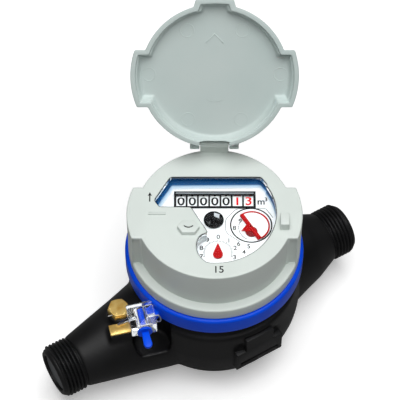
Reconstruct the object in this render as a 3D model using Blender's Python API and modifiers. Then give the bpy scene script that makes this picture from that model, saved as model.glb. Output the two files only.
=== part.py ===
"""Multi-jet water meter with a dry dial, its lid standing open.

Frame: millimetres times MM, +Z up along the register's axis, the foot on z = 0 and +X along the pipe
from inlet to outlet. The register and its lid are turned on the body, as such a register can be.
"""
import math

import bmesh
import bpy
from mathutils import Matrix, Vector

MM = 0.001
GAP = 0.3  # running clearance between pieces that touch

# Pipe and body
PIPE_HEIGHT = 24.5
INLET_REACH = 89.0
OUTLET_REACH = 76.0
THREAD_LENGTH = 13.0
THREAD_ROOT_RADIUS = 12.1
NECK_PIPE_RADIUS = 12.9
HORN_RADIUS = PIPE_HEIGHT - 0.3
BORE_RADIUS = 9.25
BORE_DEPTH = 22.0
DUCT_RADIUS = 8.0
BOWL_RADIUS = 41.5
BOWL_WAIST_HEIGHT = PIPE_HEIGHT + 5.5
FOOT_RADIUS = 21.0
NECK_TOP = PIPE_HEIGHT + 33.5
NECK_LENGTH = 12.6
SHOULDER_HEIGHT = NECK_TOP - NECK_LENGTH
SHOULDER_RADIUS = BOWL_RADIUS - 1.1
NECK_RADIUS = BOWL_RADIUS - 4.1
NECK_WALL = 1.4
SEAT_WIDTH = 2.0
SEAT_DEPTH = 5.0
GALLERY_FLOOR = 4.0
GALLERY_SHELF_WIDTH = 4.0
GASKET_SEAT_HEIGHT = NECK_TOP - SEAT_DEPTH
GASKET_SEAT_RADIUS = NECK_RADIUS - NECK_WALL
UPPER_GALLERY_RADIUS = GASKET_SEAT_RADIUS - SEAT_WIDTH
LOWER_GALLERY_RADIUS = UPPER_GALLERY_RADIUS - GALLERY_SHELF_WIDTH
SHELF_HEIGHT = PIPE_HEIGHT + 2.5
INLET_DUCT_END = (1.0 - LOWER_GALLERY_RADIUS, PIPE_HEIGHT - 8.3)
OUTLET_DUCT_END = (UPPER_GALLERY_RADIUS - 2.0, PIPE_HEIGHT + 11.5)

# Flat plaque moulded on the side of the bowl
PLAQUE_FACE = BOWL_RADIUS + 0.4
PLAQUE_ROOT_DEPTH = 6.0
PLAQUE_HALF_WIDTH = 7.5
PLAQUE_TOP = PIPE_HEIGHT + 18.5
PLAQUE_BOTTOM = PIPE_HEIGHT - 3.0
PLAQUE_SHOULDER_HALF_WIDTH = 12.7
PLAQUE_SHOULDER_TOP = PIPE_HEIGHT + 10.0
PLAQUE_NOTCH_HEIGHT = 5.0
PLAQUE_NOTCH_DEPTH = 3.0
PLAQUE_SLOT_HALF_WIDTH = 10.4
PLAQUE_SLOT = (PLAQUE_BOTTOM + 2.1, PLAQUE_BOTTOM + 4.5)
PLAQUE_SLOT_DEPTH = 1.8

# Moulded pocket where the inlet horn meets the bowl
POCKET_CENTRE = (-(BOWL_RADIUS + 1.0), -13.5)
POCKET_RADIUS = 9.0
POCKET_FLOOR = PIPE_HEIGHT + 6.5

# Measuring chamber
BASKET_RADIUS = LOWER_GALLERY_RADIUS - 5.0
BASKET_WALL = 1.7
BASKET_FLOOR = 10.0
BASKET_TOP = GASKET_SEAT_HEIGHT - 7.0
BASKET_FLANGE_THICKNESS = 2.0
SLOT_COUNT = 10
SLOT_WIDTH = 3.2
SLOT_HEIGHT = 7.0
SLOT_CUT_LENGTH = 9.0
SLOT_SLANT = 48.0
JET_SLOT_HEIGHT = BASKET_FLOOR + 7.5
OUTLET_SLOT_HEIGHT = BASKET_TOP - 10.0
BASKET_LID_THICKNESS = 2.2
IMPELLER_RADIUS = BASKET_RADIUS - BASKET_WALL - 1.5
IMPELLER_HUB_RADIUS = 4.6
IMPELLER_BOTTOM = BASKET_FLOOR + 4.5
IMPELLER_TOP = BASKET_TOP - 6.0
BLADE_THICKNESS = 1.3
BLADE_HEIGHT = IMPELLER_TOP - IMPELLER_BOTTOM - 4.5
SPIGOT_RADIUS = 2.5
PIVOT_RADIUS = 0.9
PIVOT_TOP = IMPELLER_BOTTOM + 11.5
MAGNET_RADIUS = 7.0
MAGNET_HEIGHT = 4.4
PLATE_THICKNESS = 3.5
PLATE_WEB_THICKNESS = 2.0
PLATE_RIM_WIDTH = 7.2

# Clamp ring
RING_WALL = 4.6
RING_RADIUS = NECK_RADIUS + RING_WALL
RING_HEIGHT = 9.5
RING_EDGE_ROUND = 1.3
RING_THREAD_CLEARANCE = 0.3
RING_FLANGE_THICKNESS = 3.8
LUG_SIZE = (7.6, 5.0, 3.8)
LUG_DROP = 4.8

# Register
REGISTER_TURN = -31.0
REGISTER_HEIGHT = 27.5
CUP_RADIUS = NECK_RADIUS - 3.5
CUP_WALL = 1.5
CUP_FLOOR_THICKNESS = 1.2
CUP_FOOT_RADIUS = CUP_RADIUS + 2.6
CUP_FOOT_CLEARANCE = 0.4
CUP_WELL_RADIUS = 11.5
CUP_WELL_DEPTH = 3.3
PLATE_BOTTOM = GASKET_SEAT_HEIGHT + 2 * GAP + 1.7
CUP_BOTTOM = PLATE_BOTTOM + PLATE_THICKNESS + GAP
RING_TOP = CUP_BOTTOM + CUP_FLOOR_THICKNESS + CUP_FOOT_CLEARANCE + RING_FLANGE_THICKNESS
RING_BOTTOM = RING_TOP - RING_HEIGHT
LUG_TOP = RING_TOP - LUG_DROP
FACE_HEIGHT = RING_TOP + REGISTER_HEIGHT
COVER_RADIUS = CUP_RADIUS + 2.1
COVER_TOP_THICKNESS = 2.0
EAR_RADIUS = COVER_RADIUS + 4.2
EAR_HALF_WIDTH = 14.3
FLANGE_RADIUS = COVER_RADIUS + 4.3
FLANGE_THICKNESS = 6.4
COVER_WALL = 1.7
WINDOW_THICKNESS = 1.5
WINDOW_EDGE_CLEARANCE = 0.4
DIAL_DEPTH = 7.5
DIAL_THICKNESS = 1.0
BEZEL_WALL = 1.2
HEX_PAD_HEIGHT = 2.2
NIB_SIZE = (3.8, 6.6, 4.2)
RAMP_SIZE = (8.0, 3.0, 1.0)

# Layout of the face, in the register's own directions, drawn for a cup radius of 33.9
FACE_UNIT = CUP_RADIUS / 33.9
WINDOW_ARC_RADIUS = 28.8 * FACE_UNIT
HEX_PAD_CENTRE = (-11.8 * FACE_UNIT, -9.2 * FACE_UNIT)
NIB_CENTRE = (31.8 * FACE_UNIT, -6.4 * FACE_UNIT)
RAMP_CENTRE = (-26.2 * FACE_UNIT, 0.6 * FACE_UNIT)
COUNTER_CENTRE = (0.2 * FACE_UNIT, 11.6 * FACE_UNIT)
DRUM_COUNT = 7
DRUM_PITCH = 5.21 * FACE_UNIT
DRUM_SPACE = 0.51
DRUM_RADIUS = REGISTER_HEIGHT / 2 - 5.35
DRUM_WIDTH = DRUM_PITCH - DRUM_SPACE
DRUM_SINK = 0.1
AXLE_RADIUS = 0.85
MASK_SIZE = (DRUM_COUNT * DRUM_PITCH + 1.83, 8.8)
MASK_THICKNESS = 0.6
CELL_SIZE = (DRUM_WIDTH - 0.2, 6.0)
STAR_PLACE = (-0.35 * FACE_UNIT, 1.0 * FACE_UNIT)
STAR_RADIUS = 4.6 * FACE_UNIT
DROP_PLACE = (1.5 * FACE_UNIT, -17.4 * FACE_UNIT)
DROP_LENGTH = 8.6 * FACE_UNIT
DROP_WIDTH = 4.5 * FACE_UNIT
SWEEP_PLACE = (16.9 * FACE_UNIT, -2.3 * FACE_UNIT)
SWEEP_RADIUS = 8.2 * FACE_UNIT
SWEEP_BAR_ANGLE = -52.0
STEM_RADIUS = 0.7
STEM_DEPTH = 5.0
FOLLOWER_RADIUS = 8.0

# Lid
LID_OPEN = 124.0
LID_RADIUS = COVER_RADIUS - 2.4
LID_EAR_RADIUS = EAR_RADIUS - 2.0
LID_EAR_HALF_WIDTH = 13.4
LID_EAR_SHIFT = 0.9
LID_DEPTH = 6.6
LID_WALL = 2.0
LID_TOP_THICKNESS = 1.8
LID_CROWN = 3.4
LID_TAB_HALF_WIDTH = 9.5
LID_TAB_REACH = 2.4
HINGE_PLACE = (COVER_RADIUS - 2.2, 7.8)
KNUCKLE_RADIUS = 2.5
KNUCKLE_HALF_WIDTH = 6.6
LUG_WIDTH = 4.4
LUG_WEB_DEPTH = 3.3
HINGE_PIN_RADIUS = 1.0

# Regulator plug and seal, in directions turned by SEAL_TURN
SEAL_TURN = -17.5
PLUG_PLACE = (-(BOWL_RADIUS + 9.7), 2.0)
BOSS_TOP = PIPE_HEIGHT + 21.5
BOSS_RADIUS = 5.5
BOSS_DRAFT = 0.8
PLUG_CORNER_RADIUS = 5.2
PLUG_HEAD_HEIGHT = 3.5
PLUG_SHANK_RADIUS = 3.0
PLUG_SHANK_LENGTH = 8.0
STRIP_SHIFT = -0.4
STRIP_SIZE = (11.6, 5.6, 1.2)
STRIP_SEAT_TOP = BOSS_TOP - 2.1
SEAL_AZIMUTH = 198.61
SEAL_REACH = RING_RADIUS + 9.39
SEAL_PLACE = (SEAL_REACH * math.cos(math.radians(SEAL_AZIMUTH)),
              SEAL_REACH * math.sin(math.radians(SEAL_AZIMUTH)))
SEAL_SIZE = (12.0, 13.0, 7.0)
ROTOR_RADIUS = 2.6
ROTOR_LENGTH = 11.0
HANDLE_SIZE = (3.9, 9.5, 1.7)
WIRE_RADIUS = 0.4
WIRE_HOLE_RADIUS = 0.8
PLUG_HOLE_OFFSET = -2.6

TAU = 2 * math.pi

MATERIALS = {
    "black composite": ((0.012, 0.012, 0.013), 0.42, 0.0),
    "blue plastic": ((0.004, 0.060, 0.55), 0.30, 0.0),
    "deep blue plastic": ((0.006, 0.05, 0.14), 0.35, 0.0),
    "pale grey plastic": ((0.70, 0.76, 0.73), 0.45, 0.0),
    "lid grey plastic": ((0.42, 0.52, 0.50), 0.45, 0.0),
    "clear plastic": ((0.85, 0.90, 0.92), 0.08, 0.0),
    "white plastic": ((0.85, 0.86, 0.86), 0.40, 0.0),
    "black plastic": ((0.01, 0.01, 0.01), 0.25, 0.0),
    "red plastic": ((0.72, 0.02, 0.02), 0.35, 0.0),
    "natural plastic": ((0.72, 0.70, 0.62), 0.45, 0.0),
    "strainer grey": ((0.22, 0.24, 0.25), 0.55, 0.0),
    "magnet": ((0.06, 0.06, 0.065), 0.50, 0.3),
    "brass": ((0.78, 0.52, 0.16), 0.28, 1.0),
    "steel": ((0.62, 0.62, 0.60), 0.32, 1.0),
    "silver foil": ((0.85, 0.85, 0.86), 0.22, 1.0),
    "rubber": ((0.015, 0.015, 0.015), 0.80, 0.0),
}


def start_scene():
    """Empty the scene and make the collections for the pieces and for the cutters."""
    for obj in list(bpy.data.objects):
        bpy.data.objects.remove(obj, do_unlink=True)
    for name in ("Water meter", "Cutters"):
        bpy.context.scene.collection.children.link(bpy.data.collections.new(name))


def finish(name):
    """Return the named Principled material, made on first use."""
    found = bpy.data.materials.get(name)
    if found:
        return found
    colour, roughness, metallic = MATERIALS[name]
    material = bpy.data.materials.new(name)
    material.use_nodes = True
    shader = material.node_tree.nodes["Principled BSDF"]
    shader.inputs["Base Color"].default_value = (*colour, 1.0)
    shader.inputs["Roughness"].default_value = roughness
    shader.inputs["Metallic"].default_value = metallic
    material.diffuse_color = (*colour, 1.0)
    return material


def add_object(name, mesh, material=None, parent=None, place=(0, 0, 0), turn=(0, 0, 0)):
    """Link a mesh as a piece, or as a hidden cutter where no material is given."""
    obj = bpy.data.objects.new(name, mesh)
    group = "Water meter" if material else "Cutters"
    bpy.data.collections[group].objects.link(obj)
    if material:
        mesh.materials.append(finish(material))
    else:
        obj.hide_render = True
        obj.display_type = "WIRE"
    obj.parent = parent
    obj.location = Vector(place) * MM
    obj.rotation_euler = [math.radians(angle) for angle in turn]
    return obj


def add_empty(name, parent=None, place=(0, 0, 0), turn=(0, 0, 0)):
    """Add an empty that carries pieces in turned directions."""
    empty = bpy.data.objects.new(name, None)
    bpy.data.collections["Water meter"].objects.link(empty)
    empty.parent = parent
    empty.location = Vector(place) * MM
    empty.rotation_euler = [math.radians(angle) for angle in turn]
    return empty


def turned(name, profile, material=None, steps=48, closed=False, **place):
    """Turn a profile of (radius, height) points about the local Z axis."""
    mesh = bpy.data.meshes.new(name)
    count = len(profile)
    edges = [(i, i + 1) for i in range(count - 1)]
    if closed:
        edges.append((count - 1, 0))
    mesh.from_pydata([(r * MM, 0.0, z * MM) for r, z in profile], edges, [])
    obj = add_object(name, mesh, material, **place)
    screw = obj.modifiers.new("Turn", "SCREW")
    screw.axis = "Z"
    screw.steps = screw.render_steps = steps
    screw.use_merge_vertices = True
    screw.merge_threshold = 0.00001
    return obj


def block(name, size, centre, material=None, parent=None, turn=(0, 0, 0)):
    """Add a box of the given size about its centre."""
    mesh = bpy.data.meshes.new(name)
    shape = bmesh.new()
    bmesh.ops.create_cube(shape, size=1.0, matrix=Matrix.Diagonal((*(Vector(size) * MM), 1.0)))
    shape.to_mesh(mesh)
    shape.free()
    return add_object(name, mesh, material, parent, centre, turn)


def rod(name, radius, length, centre, material=None, parent=None, turn=(0, 0, 0), segments=24,
        tip_radius=None, twist=0.0):
    """Add a cylinder or a cone about its centre, along its local Z axis."""
    mesh = bpy.data.meshes.new(name)
    shape = bmesh.new()
    tip = radius if tip_radius is None else tip_radius
    bmesh.ops.create_cone(shape, cap_ends=True, segments=segments, radius1=radius * MM,
                          radius2=tip * MM, depth=length * MM,
                          matrix=Matrix.Rotation(math.radians(twist), 4, "Z"))
    shape.to_mesh(mesh)
    shape.free()
    return add_object(name, mesh, material, parent, centre, turn)


def slab(name, loops, thickness, bottom, material=None, parent=None, place=(0, 0), turn=(0, 0, 0)):
    """Fill flat outlines as a 2D curve, thicken them and keep the welded mesh."""
    curve = bpy.data.curves.new(name, "CURVE")
    curve.dimensions = "2D"
    curve.fill_mode = "BOTH"
    curve.extrude = thickness * MM / 2
    for loop in loops:
        spline = curve.splines.new("POLY")
        spline.points.add(len(loop) - 1)
        spline.use_cyclic_u = True
        for point, (x, y) in zip(spline.points, loop):
            point.co = (x * MM, y * MM, 0.0, 1.0)
    guide = bpy.data.objects.new(name, curve)
    bpy.context.scene.collection.objects.link(guide)
    graph = bpy.context.evaluated_depsgraph_get()
    mesh = bpy.data.meshes.new_from_object(guide.evaluated_get(graph))
    bpy.data.objects.remove(guide, do_unlink=True)
    shape = bmesh.new()
    shape.from_mesh(mesh)
    bmesh.ops.remove_doubles(shape, verts=shape.verts, dist=1e-6)
    bmesh.ops.recalc_face_normals(shape, faces=shape.faces)
    shape.to_mesh(mesh)
    shape.free()
    mesh.materials.clear()
    middle = (place[0], place[1], bottom + thickness / 2)
    return add_object(name, mesh, material, parent, middle, turn)


def layered(name, outline, layers, material=None, parent=None, place=(0, 0, 0)):
    """Stack (spread, height) copies of an outline, bottom layer first, into one closed solid."""
    mesh = bpy.data.meshes.new(name)
    points = []
    for distance, height in layers:
        loop = spread(outline, distance) if distance else outline
        points += [(x * MM, y * MM, height * MM) for x, y in loop]
    count = len(outline)
    faces = [list(range(count - 1, -1, -1))]
    for level in range(len(layers) - 1):
        for i in range(count):
            low = level * count
            after = (i + 1) % count
            faces.append([low + i, low + after, low + count + after, low + count + i])
    top = (len(layers) - 1) * count
    faces.append(list(range(top, top + count)))
    mesh.from_pydata(points, [], faces)
    return add_object(name, mesh, material, parent, place)


def boolean(target, tool, operation):
    """Cut with, or join, another object through a live exact Boolean."""
    modifier = target.modifiers.new(f"{operation.title()} {tool.name}", "BOOLEAN")
    modifier.operation = operation
    modifier.solver = "EXACT"
    modifier.object = tool


def cut(target, *tools):
    """Cut each tool out of the target."""
    for tool in tools:
        boolean(target, tool, "DIFFERENCE")


def join(target, *tools):
    """Join each tool to the target as one solid."""
    for tool in tools:
        boolean(target, tool, "UNION")


def arc(centre, radius, start, end, count):
    """Points along an arc, from one angle to another in degrees."""
    points = []
    for i in range(count + 1):
        angle = math.radians(start + (end - start) * i / count)
        points.append((centre[0] + radius * math.cos(angle), centre[1] + radius * math.sin(angle)))
    return points


def spread(loop, distance):
    """Offset a closed outline, given anticlockwise, outwards by a distance."""
    result = []
    count = len(loop)
    for i, (x, y) in enumerate(loop):
        before = Vector(loop[i - 1])
        after = Vector(loop[(i + 1) % count])
        here = Vector((x, y))
        first = (here - before).normalized()
        second = (after - here).normalized()
        normal = Vector((first.y + second.y, -first.x - second.x)).normalized()
        reach = distance / max(0.35, normal.dot(Vector((first.y, -first.x))))
        result.append((x + normal.x * reach, y + normal.y * reach))
    return result


def lid_outline():
    """Circle with an ear on each side and a finger tab at the front, anticlockwise."""
    ear_back = LID_EAR_HALF_WIDTH + LID_EAR_SHIFT
    ear_front = LID_EAR_HALF_WIDTH - LID_EAR_SHIFT
    back, ear_top = [math.degrees(math.asin(ear_back / r)) for r in (LID_RADIUS, LID_EAR_RADIUS)]
    front, ear_low = [math.degrees(math.asin(ear_front / r)) for r in (LID_RADIUS, LID_EAR_RADIUS)]
    tab_angle = math.degrees(math.asin(LID_TAB_HALF_WIDTH / LID_RADIUS))
    tab_front = -LID_RADIUS - LID_TAB_REACH
    points = arc((0, 0), LID_EAR_RADIUS, -ear_low, ear_top, 4)
    points += arc((0, 0), LID_RADIUS, back, 180 - back, 16)
    points += arc((0, 0), LID_EAR_RADIUS, 180 - ear_top, 180 + ear_low, 4)
    points += arc((0, 0), LID_RADIUS, 180 + front, 270 - tab_angle, 6)
    points += [(-LID_TAB_HALF_WIDTH + 1.0, tab_front), (LID_TAB_HALF_WIDTH - 1.0, tab_front)]
    points += arc((0, 0), LID_RADIUS, 270 + tab_angle, 360 - front, 6)
    return points


def window_outline():
    """The window's odd outline on the register's face, anticlockwise from its top right corner."""
    top = 20.2 * FACE_UNIT
    right_angle = math.degrees(math.asin(top / WINDOW_ARC_RADIUS))
    corners = [(-20.6, 20.2), (-24.2, 13.6), (-27.5, 7.4), (-27.4, 4.9), (-25.6, 3.3), (-9.9, 3.3),
               (-8.7, 2.5), (-3.9, -8.3), (-4.1, -9.3)]
    points = [(x * FACE_UNIT, y * FACE_UNIT) for x, y in corners]
    points += arc(DROP_PLACE, 10.6 * FACE_UNIT, 135, 238, 7)
    points += arc((0, 0), WINDOW_ARC_RADIUS, 259, 360 + right_angle - 3, 18)
    points += [(19.2 * FACE_UNIT, top)]
    return points


def horn_profile(reach, stations):
    """Profile of a flared horn along the pipe, from its threaded end to the register's axis."""
    thread_end = reach - THREAD_LENGTH
    points = [(0, reach), (THREAD_ROOT_RADIUS - 1.0, reach), (THREAD_ROOT_RADIUS, reach - 1.0)]
    points += [(THREAD_ROOT_RADIUS, thread_end + 0.6), (NECK_PIPE_RADIUS, thread_end)]
    points += [(radius, distance) for radius, distance in stations]
    points += [(HORN_RADIUS, 28.0), (HORN_RADIUS * 0.9, 10.0), (0, 4.0)]
    return points


def bowl_profile():
    """Outer profile of the bowl, from the top of the neck down to the foot."""
    points = [(0, NECK_TOP), (NECK_RADIUS - 0.6, NECK_TOP), (NECK_RADIUS, NECK_TOP - 0.6)]
    points += [(NECK_RADIUS, SHOULDER_HEIGHT + 1.4), (SHOULDER_RADIUS - 0.8, SHOULDER_HEIGHT)]
    points += [(SHOULDER_RADIUS, SHOULDER_HEIGHT - 0.9), (BOWL_RADIUS, BOWL_WAIST_HEIGHT)]
    for i in range(1, 8):
        angle = math.radians(90 * i / 7)
        radius = FOOT_RADIUS + (BOWL_RADIUS - FOOT_RADIUS) * math.cos(angle)
        points.append((radius, BOWL_WAIST_HEIGHT * (1 - math.sin(angle))))
    points.append((0, 0))
    return points


def make_body():
    """The black composite body: bowl, two flared horns, galleries, ducts and moulded details."""
    body = turned("meter_body", bowl_profile(), "black composite", steps=48)
    inlet_flare, outlet_flare = HORN_RADIUS - 15.8, HORN_RADIUS - 14.6
    inlet_stations = [(HORN_RADIUS - inlet_flare, 64.0), (HORN_RADIUS - 0.571 * inlet_flare, 48.5),
                      (HORN_RADIUS - 0.214 * inlet_flare, 37.0)]
    outlet_stations = [(HORN_RADIUS - outlet_flare, 59.0), (HORN_RADIUS - 0.688 * outlet_flare, 52.0),
                       (HORN_RADIUS - 0.417 * outlet_flare, 43.0),
                       (HORN_RADIUS - 0.146 * outlet_flare, 35.0)]
    inlet_horn = turned("inlet horn", horn_profile(INLET_REACH, inlet_stations), steps=32,
                        place=(0, 0, PIPE_HEIGHT), turn=(0, -90, 0))
    outlet_horn = turned("outlet horn", horn_profile(OUTLET_REACH, outlet_stations), steps=32,
                         place=(0, 0, PIPE_HEIGHT), turn=(0, 90, 0))
    boss_bottom = PIPE_HEIGHT + 8.0
    boss = rod("regulator boss", BOSS_RADIUS + BOSS_DRAFT, BOSS_TOP - boss_bottom,
               (*PLUG_PLACE, (BOSS_TOP + boss_bottom) / 2), tip_radius=BOSS_RADIUS)
    seat_bottom = PIPE_HEIGHT + 10.0
    seat = block("strip seat", (STRIP_SIZE[0] + 0.8, STRIP_SIZE[1] + 0.8, STRIP_SEAT_TOP - seat_bottom),
                 strip_place((STRIP_SEAT_TOP + seat_bottom) / 2), turn=(0, 0, SEAL_TURN))
    join(body, inlet_horn, outlet_horn, boss, seat)
    add_plaque(body)
    cut_pocket(body)
    cut_waterways(body)
    return body


def add_plaque(body):
    """Flat stepped plaque on the side of the bowl, with its two notches and the slot below."""
    inner = PLAQUE_FACE - PLAQUE_ROOT_DEPTH
    depth = PLAQUE_FACE - inner
    middle_y = -(PLAQUE_FACE + inner) / 2
    tall = block("plaque", (2 * PLAQUE_HALF_WIDTH, depth, PLAQUE_TOP - PLAQUE_BOTTOM),
                 (0, middle_y, (PLAQUE_TOP + PLAQUE_BOTTOM) / 2))
    wide_height = PLAQUE_SHOULDER_TOP - PLAQUE_BOTTOM
    wide = block("plaque shoulders", (2 * PLAQUE_SHOULDER_HALF_WIDTH, depth + 0.02, wide_height),
                 (0, middle_y - 0.01, PLAQUE_BOTTOM + wide_height / 2))
    join(body, tall, wide)
    notch_width = PLAQUE_SHOULDER_HALF_WIDTH - PLAQUE_HALF_WIDTH - 0.2
    notch_bottom = PLAQUE_SHOULDER_TOP + 0.1
    for side, word in ((-1, "left"), (1, "right")):
        centre_x = side * (PLAQUE_HALF_WIDTH + 0.2 + notch_width / 2)
        notch = block(f"{word} notch", (notch_width, 8.0, PLAQUE_NOTCH_HEIGHT),
                      (centre_x, -(PLAQUE_FACE - PLAQUE_NOTCH_DEPTH) - 4.0,
                       notch_bottom + PLAQUE_NOTCH_HEIGHT / 2))
        cut(body, notch)
    bottom, top = PLAQUE_SLOT
    slot = block("plaque slot", (2 * PLAQUE_SLOT_HALF_WIDTH, 6.0, top - bottom),
                 (0, -(PLAQUE_FACE - PLAQUE_SLOT_DEPTH) - 3.0, (top + bottom) / 2))
    cut(body, slot)


def cut_pocket(body):
    """Round moulded pocket in the valley between the inlet horn and the bowl."""
    height = SHOULDER_HEIGHT + 4.0 - POCKET_FLOOR
    pocket = rod("horn pocket", POCKET_RADIUS, height, (*POCKET_CENTRE, POCKET_FLOOR + height / 2),
                 segments=28)
    cut(body, pocket)


def duct(name, start, end):
    """Round passage between two points (x, z) in the pipe's plane."""
    run = Vector((end[0] - start[0], 0, end[1] - start[1]))
    middle = ((start[0] + end[0]) / 2, 0, (start[1] + end[1]) / 2)
    lean = math.degrees(math.atan2(run.x, run.z))
    return rod(name, DUCT_RADIUS, run.length, middle, turn=(0, lean, 0), segments=20)


def cut_waterways(body):
    """Bores, ducts, the two galleries, the gasket seat and the regulator's screw hole."""
    galleries = turned("galleries", [
        (0, NECK_TOP + 1), (GASKET_SEAT_RADIUS, NECK_TOP + 1), (GASKET_SEAT_RADIUS, GASKET_SEAT_HEIGHT),
        (UPPER_GALLERY_RADIUS, GASKET_SEAT_HEIGHT), (UPPER_GALLERY_RADIUS, SHELF_HEIGHT),
        (LOWER_GALLERY_RADIUS, SHELF_HEIGHT), (LOWER_GALLERY_RADIUS, GALLERY_FLOOR + 7),
        (LOWER_GALLERY_RADIUS - 5, GALLERY_FLOOR + 2), (LOWER_GALLERY_RADIUS - 12, GALLERY_FLOOR),
        (0, GALLERY_FLOOR)], steps=36)
    inlet_inner = -(INLET_REACH - BORE_DEPTH)
    outlet_inner = OUTLET_REACH - BORE_DEPTH
    inlet_bore = rod("inlet bore", BORE_RADIUS, BORE_DEPTH + 2,
                     (-(INLET_REACH + 2) + (BORE_DEPTH + 2) / 2, 0, PIPE_HEIGHT),
                     turn=(0, 90, 0), segments=28, twist=4)
    outlet_bore = rod("outlet bore", BORE_RADIUS, BORE_DEPTH + 2,
                      (OUTLET_REACH + 2 - (BORE_DEPTH + 2) / 2, 0, PIPE_HEIGHT),
                      turn=(0, 90, 0), segments=28, twist=4)
    inlet_duct = duct("inlet duct", (inlet_inner - 1.5, PIPE_HEIGHT), INLET_DUCT_END)
    outlet_duct = duct("outlet duct", (outlet_inner + 1.5, PIPE_HEIGHT), OUTLET_DUCT_END)
    screw_depth = PLUG_SHANK_LENGTH + 1.0
    screw_hole = rod("regulator hole", PLUG_SHANK_RADIUS + GAP, screw_depth + 2,
                     (*PLUG_PLACE, BOSS_TOP + 2 - (screw_depth + 2) / 2))
    cut(body, galleries, inlet_bore, inlet_duct, outlet_bore, outlet_duct, screw_hole)


def make_strainer():
    """Fine strainer just inside the inlet, held in the bore."""
    radius = BORE_RADIUS - GAP
    front = INLET_REACH - 1.3
    depth, wall = 0.65 * radius, 0.13 * radius
    profile = [(0, front), (radius, front), (radius, front - depth), (radius - wall, front - depth),
               (radius - wall, front - wall), (0, front - wall)]
    turned("inlet_strainer", profile, "strainer grey", steps=32, place=(0, 0, PIPE_HEIGHT),
           turn=(0, -90, 0))


def slot_ring(name, height, slant):
    """Ring of slanted slots through the basket's wall, as one cutter mesh."""
    mesh = bpy.data.meshes.new(name)
    shape = bmesh.new()
    size = Matrix.Diagonal((SLOT_CUT_LENGTH * MM, SLOT_WIDTH * MM, SLOT_HEIGHT * MM, 1.0))
    for i in range(SLOT_COUNT):
        about = Matrix.Rotation(TAU * i / SLOT_COUNT, 4, "Z")
        out = Matrix.Translation(((BASKET_RADIUS - BASKET_WALL / 2) * MM, 0, height * MM))
        lean = Matrix.Rotation(math.radians(slant), 4, "Z")
        bmesh.ops.create_cube(shape, size=1.0, matrix=about @ out @ lean @ size)
    shape.to_mesh(mesh)
    shape.free()
    return add_object(name, mesh)


def make_chamber():
    """Measuring chamber: jet basket, its lid and the impeller's pivot."""
    inner = BASKET_RADIUS - BASKET_WALL
    flange = UPPER_GALLERY_RADIUS - 0.4
    flange_bottom = SHELF_HEIGHT + GAP
    flange_top = flange_bottom + BASKET_FLANGE_THICKNESS
    floor_top = BASKET_FLOOR + 1.8
    basket = turned("jet_basket", [
        (inner, BASKET_TOP), (BASKET_RADIUS, BASKET_TOP), (BASKET_RADIUS, flange_top),
        (flange, flange_top), (flange, flange_bottom), (BASKET_RADIUS, flange_bottom),
        (BASKET_RADIUS, BASKET_FLOOR), (PIVOT_RADIUS + GAP, BASKET_FLOOR),
        (PIVOT_RADIUS + GAP, floor_top), (inner, floor_top)], "natural plastic", steps=32, closed=True)
    cut(basket, slot_ring("jet slots", JET_SLOT_HEIGHT, SLOT_SLANT),
        slot_ring("outlet slots", OUTLET_SLOT_HEIGHT, -SLOT_SLANT))
    lid_bottom = BASKET_TOP + GAP
    lid_top = lid_bottom + BASKET_LID_THICKNESS
    turned("basket_lid", [
        (SPIGOT_RADIUS + 0.5, lid_top), (BASKET_RADIUS - 1.0, lid_top), (BASKET_RADIUS, lid_top - 0.8),
        (BASKET_RADIUS, lid_bottom), (SPIGOT_RADIUS + 0.5, lid_bottom)],
        "natural plastic", steps=40, closed=True)
    pivot_bottom = BASKET_FLOOR - 1.2
    turned("impeller_pivot", [
        (0, PIVOT_TOP), (PIVOT_RADIUS * 0.5, PIVOT_TOP - 0.1), (PIVOT_RADIUS, PIVOT_TOP - 0.8),
        (PIVOT_RADIUS, BASKET_FLOOR - GAP), (PIVOT_RADIUS + 1.2, BASKET_FLOOR - GAP),
        (PIVOT_RADIUS + 1.2, pivot_bottom), (0, pivot_bottom)], "steel", steps=16)


def make_impeller():
    """Impeller with eight straight blades, and the ring magnet pressed on its spigot."""
    lid_top = BASKET_TOP + GAP + BASKET_LID_THICKNESS
    magnet_bottom = lid_top + 0.8
    magnet_top = magnet_bottom + MAGNET_HEIGHT
    bore = PIVOT_RADIUS + GAP
    impeller = turned("impeller", [
        (0, magnet_top), (SPIGOT_RADIUS, magnet_top), (SPIGOT_RADIUS, IMPELLER_TOP),
        (IMPELLER_HUB_RADIUS, IMPELLER_TOP), (IMPELLER_HUB_RADIUS, IMPELLER_BOTTOM),
        (bore, IMPELLER_BOTTOM), (bore, PIVOT_TOP + GAP), (0, PIVOT_TOP + GAP)],
        "white plastic", steps=24)
    blade_middle = IMPELLER_BOTTOM + 1.5 + BLADE_HEIGHT / 2
    span = IMPELLER_RADIUS - bore - 1.0
    for i in range(8):
        angle = 45.0 * i
        reach = bore + 1.0 + span / 2
        place = (reach * math.cos(math.radians(angle)), reach * math.sin(math.radians(angle)), blade_middle)
        join(impeller, block(f"blade {i + 1}", (span, BLADE_THICKNESS, BLADE_HEIGHT), place,
                             turn=(0, 0, angle)))
    turned("drive_magnet", [
        (SPIGOT_RADIUS + 0.05, magnet_top), (MAGNET_RADIUS, magnet_top), (MAGNET_RADIUS, magnet_bottom),
        (SPIGOT_RADIUS + 0.05, magnet_bottom)], "magnet", steps=24, closed=True)


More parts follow.
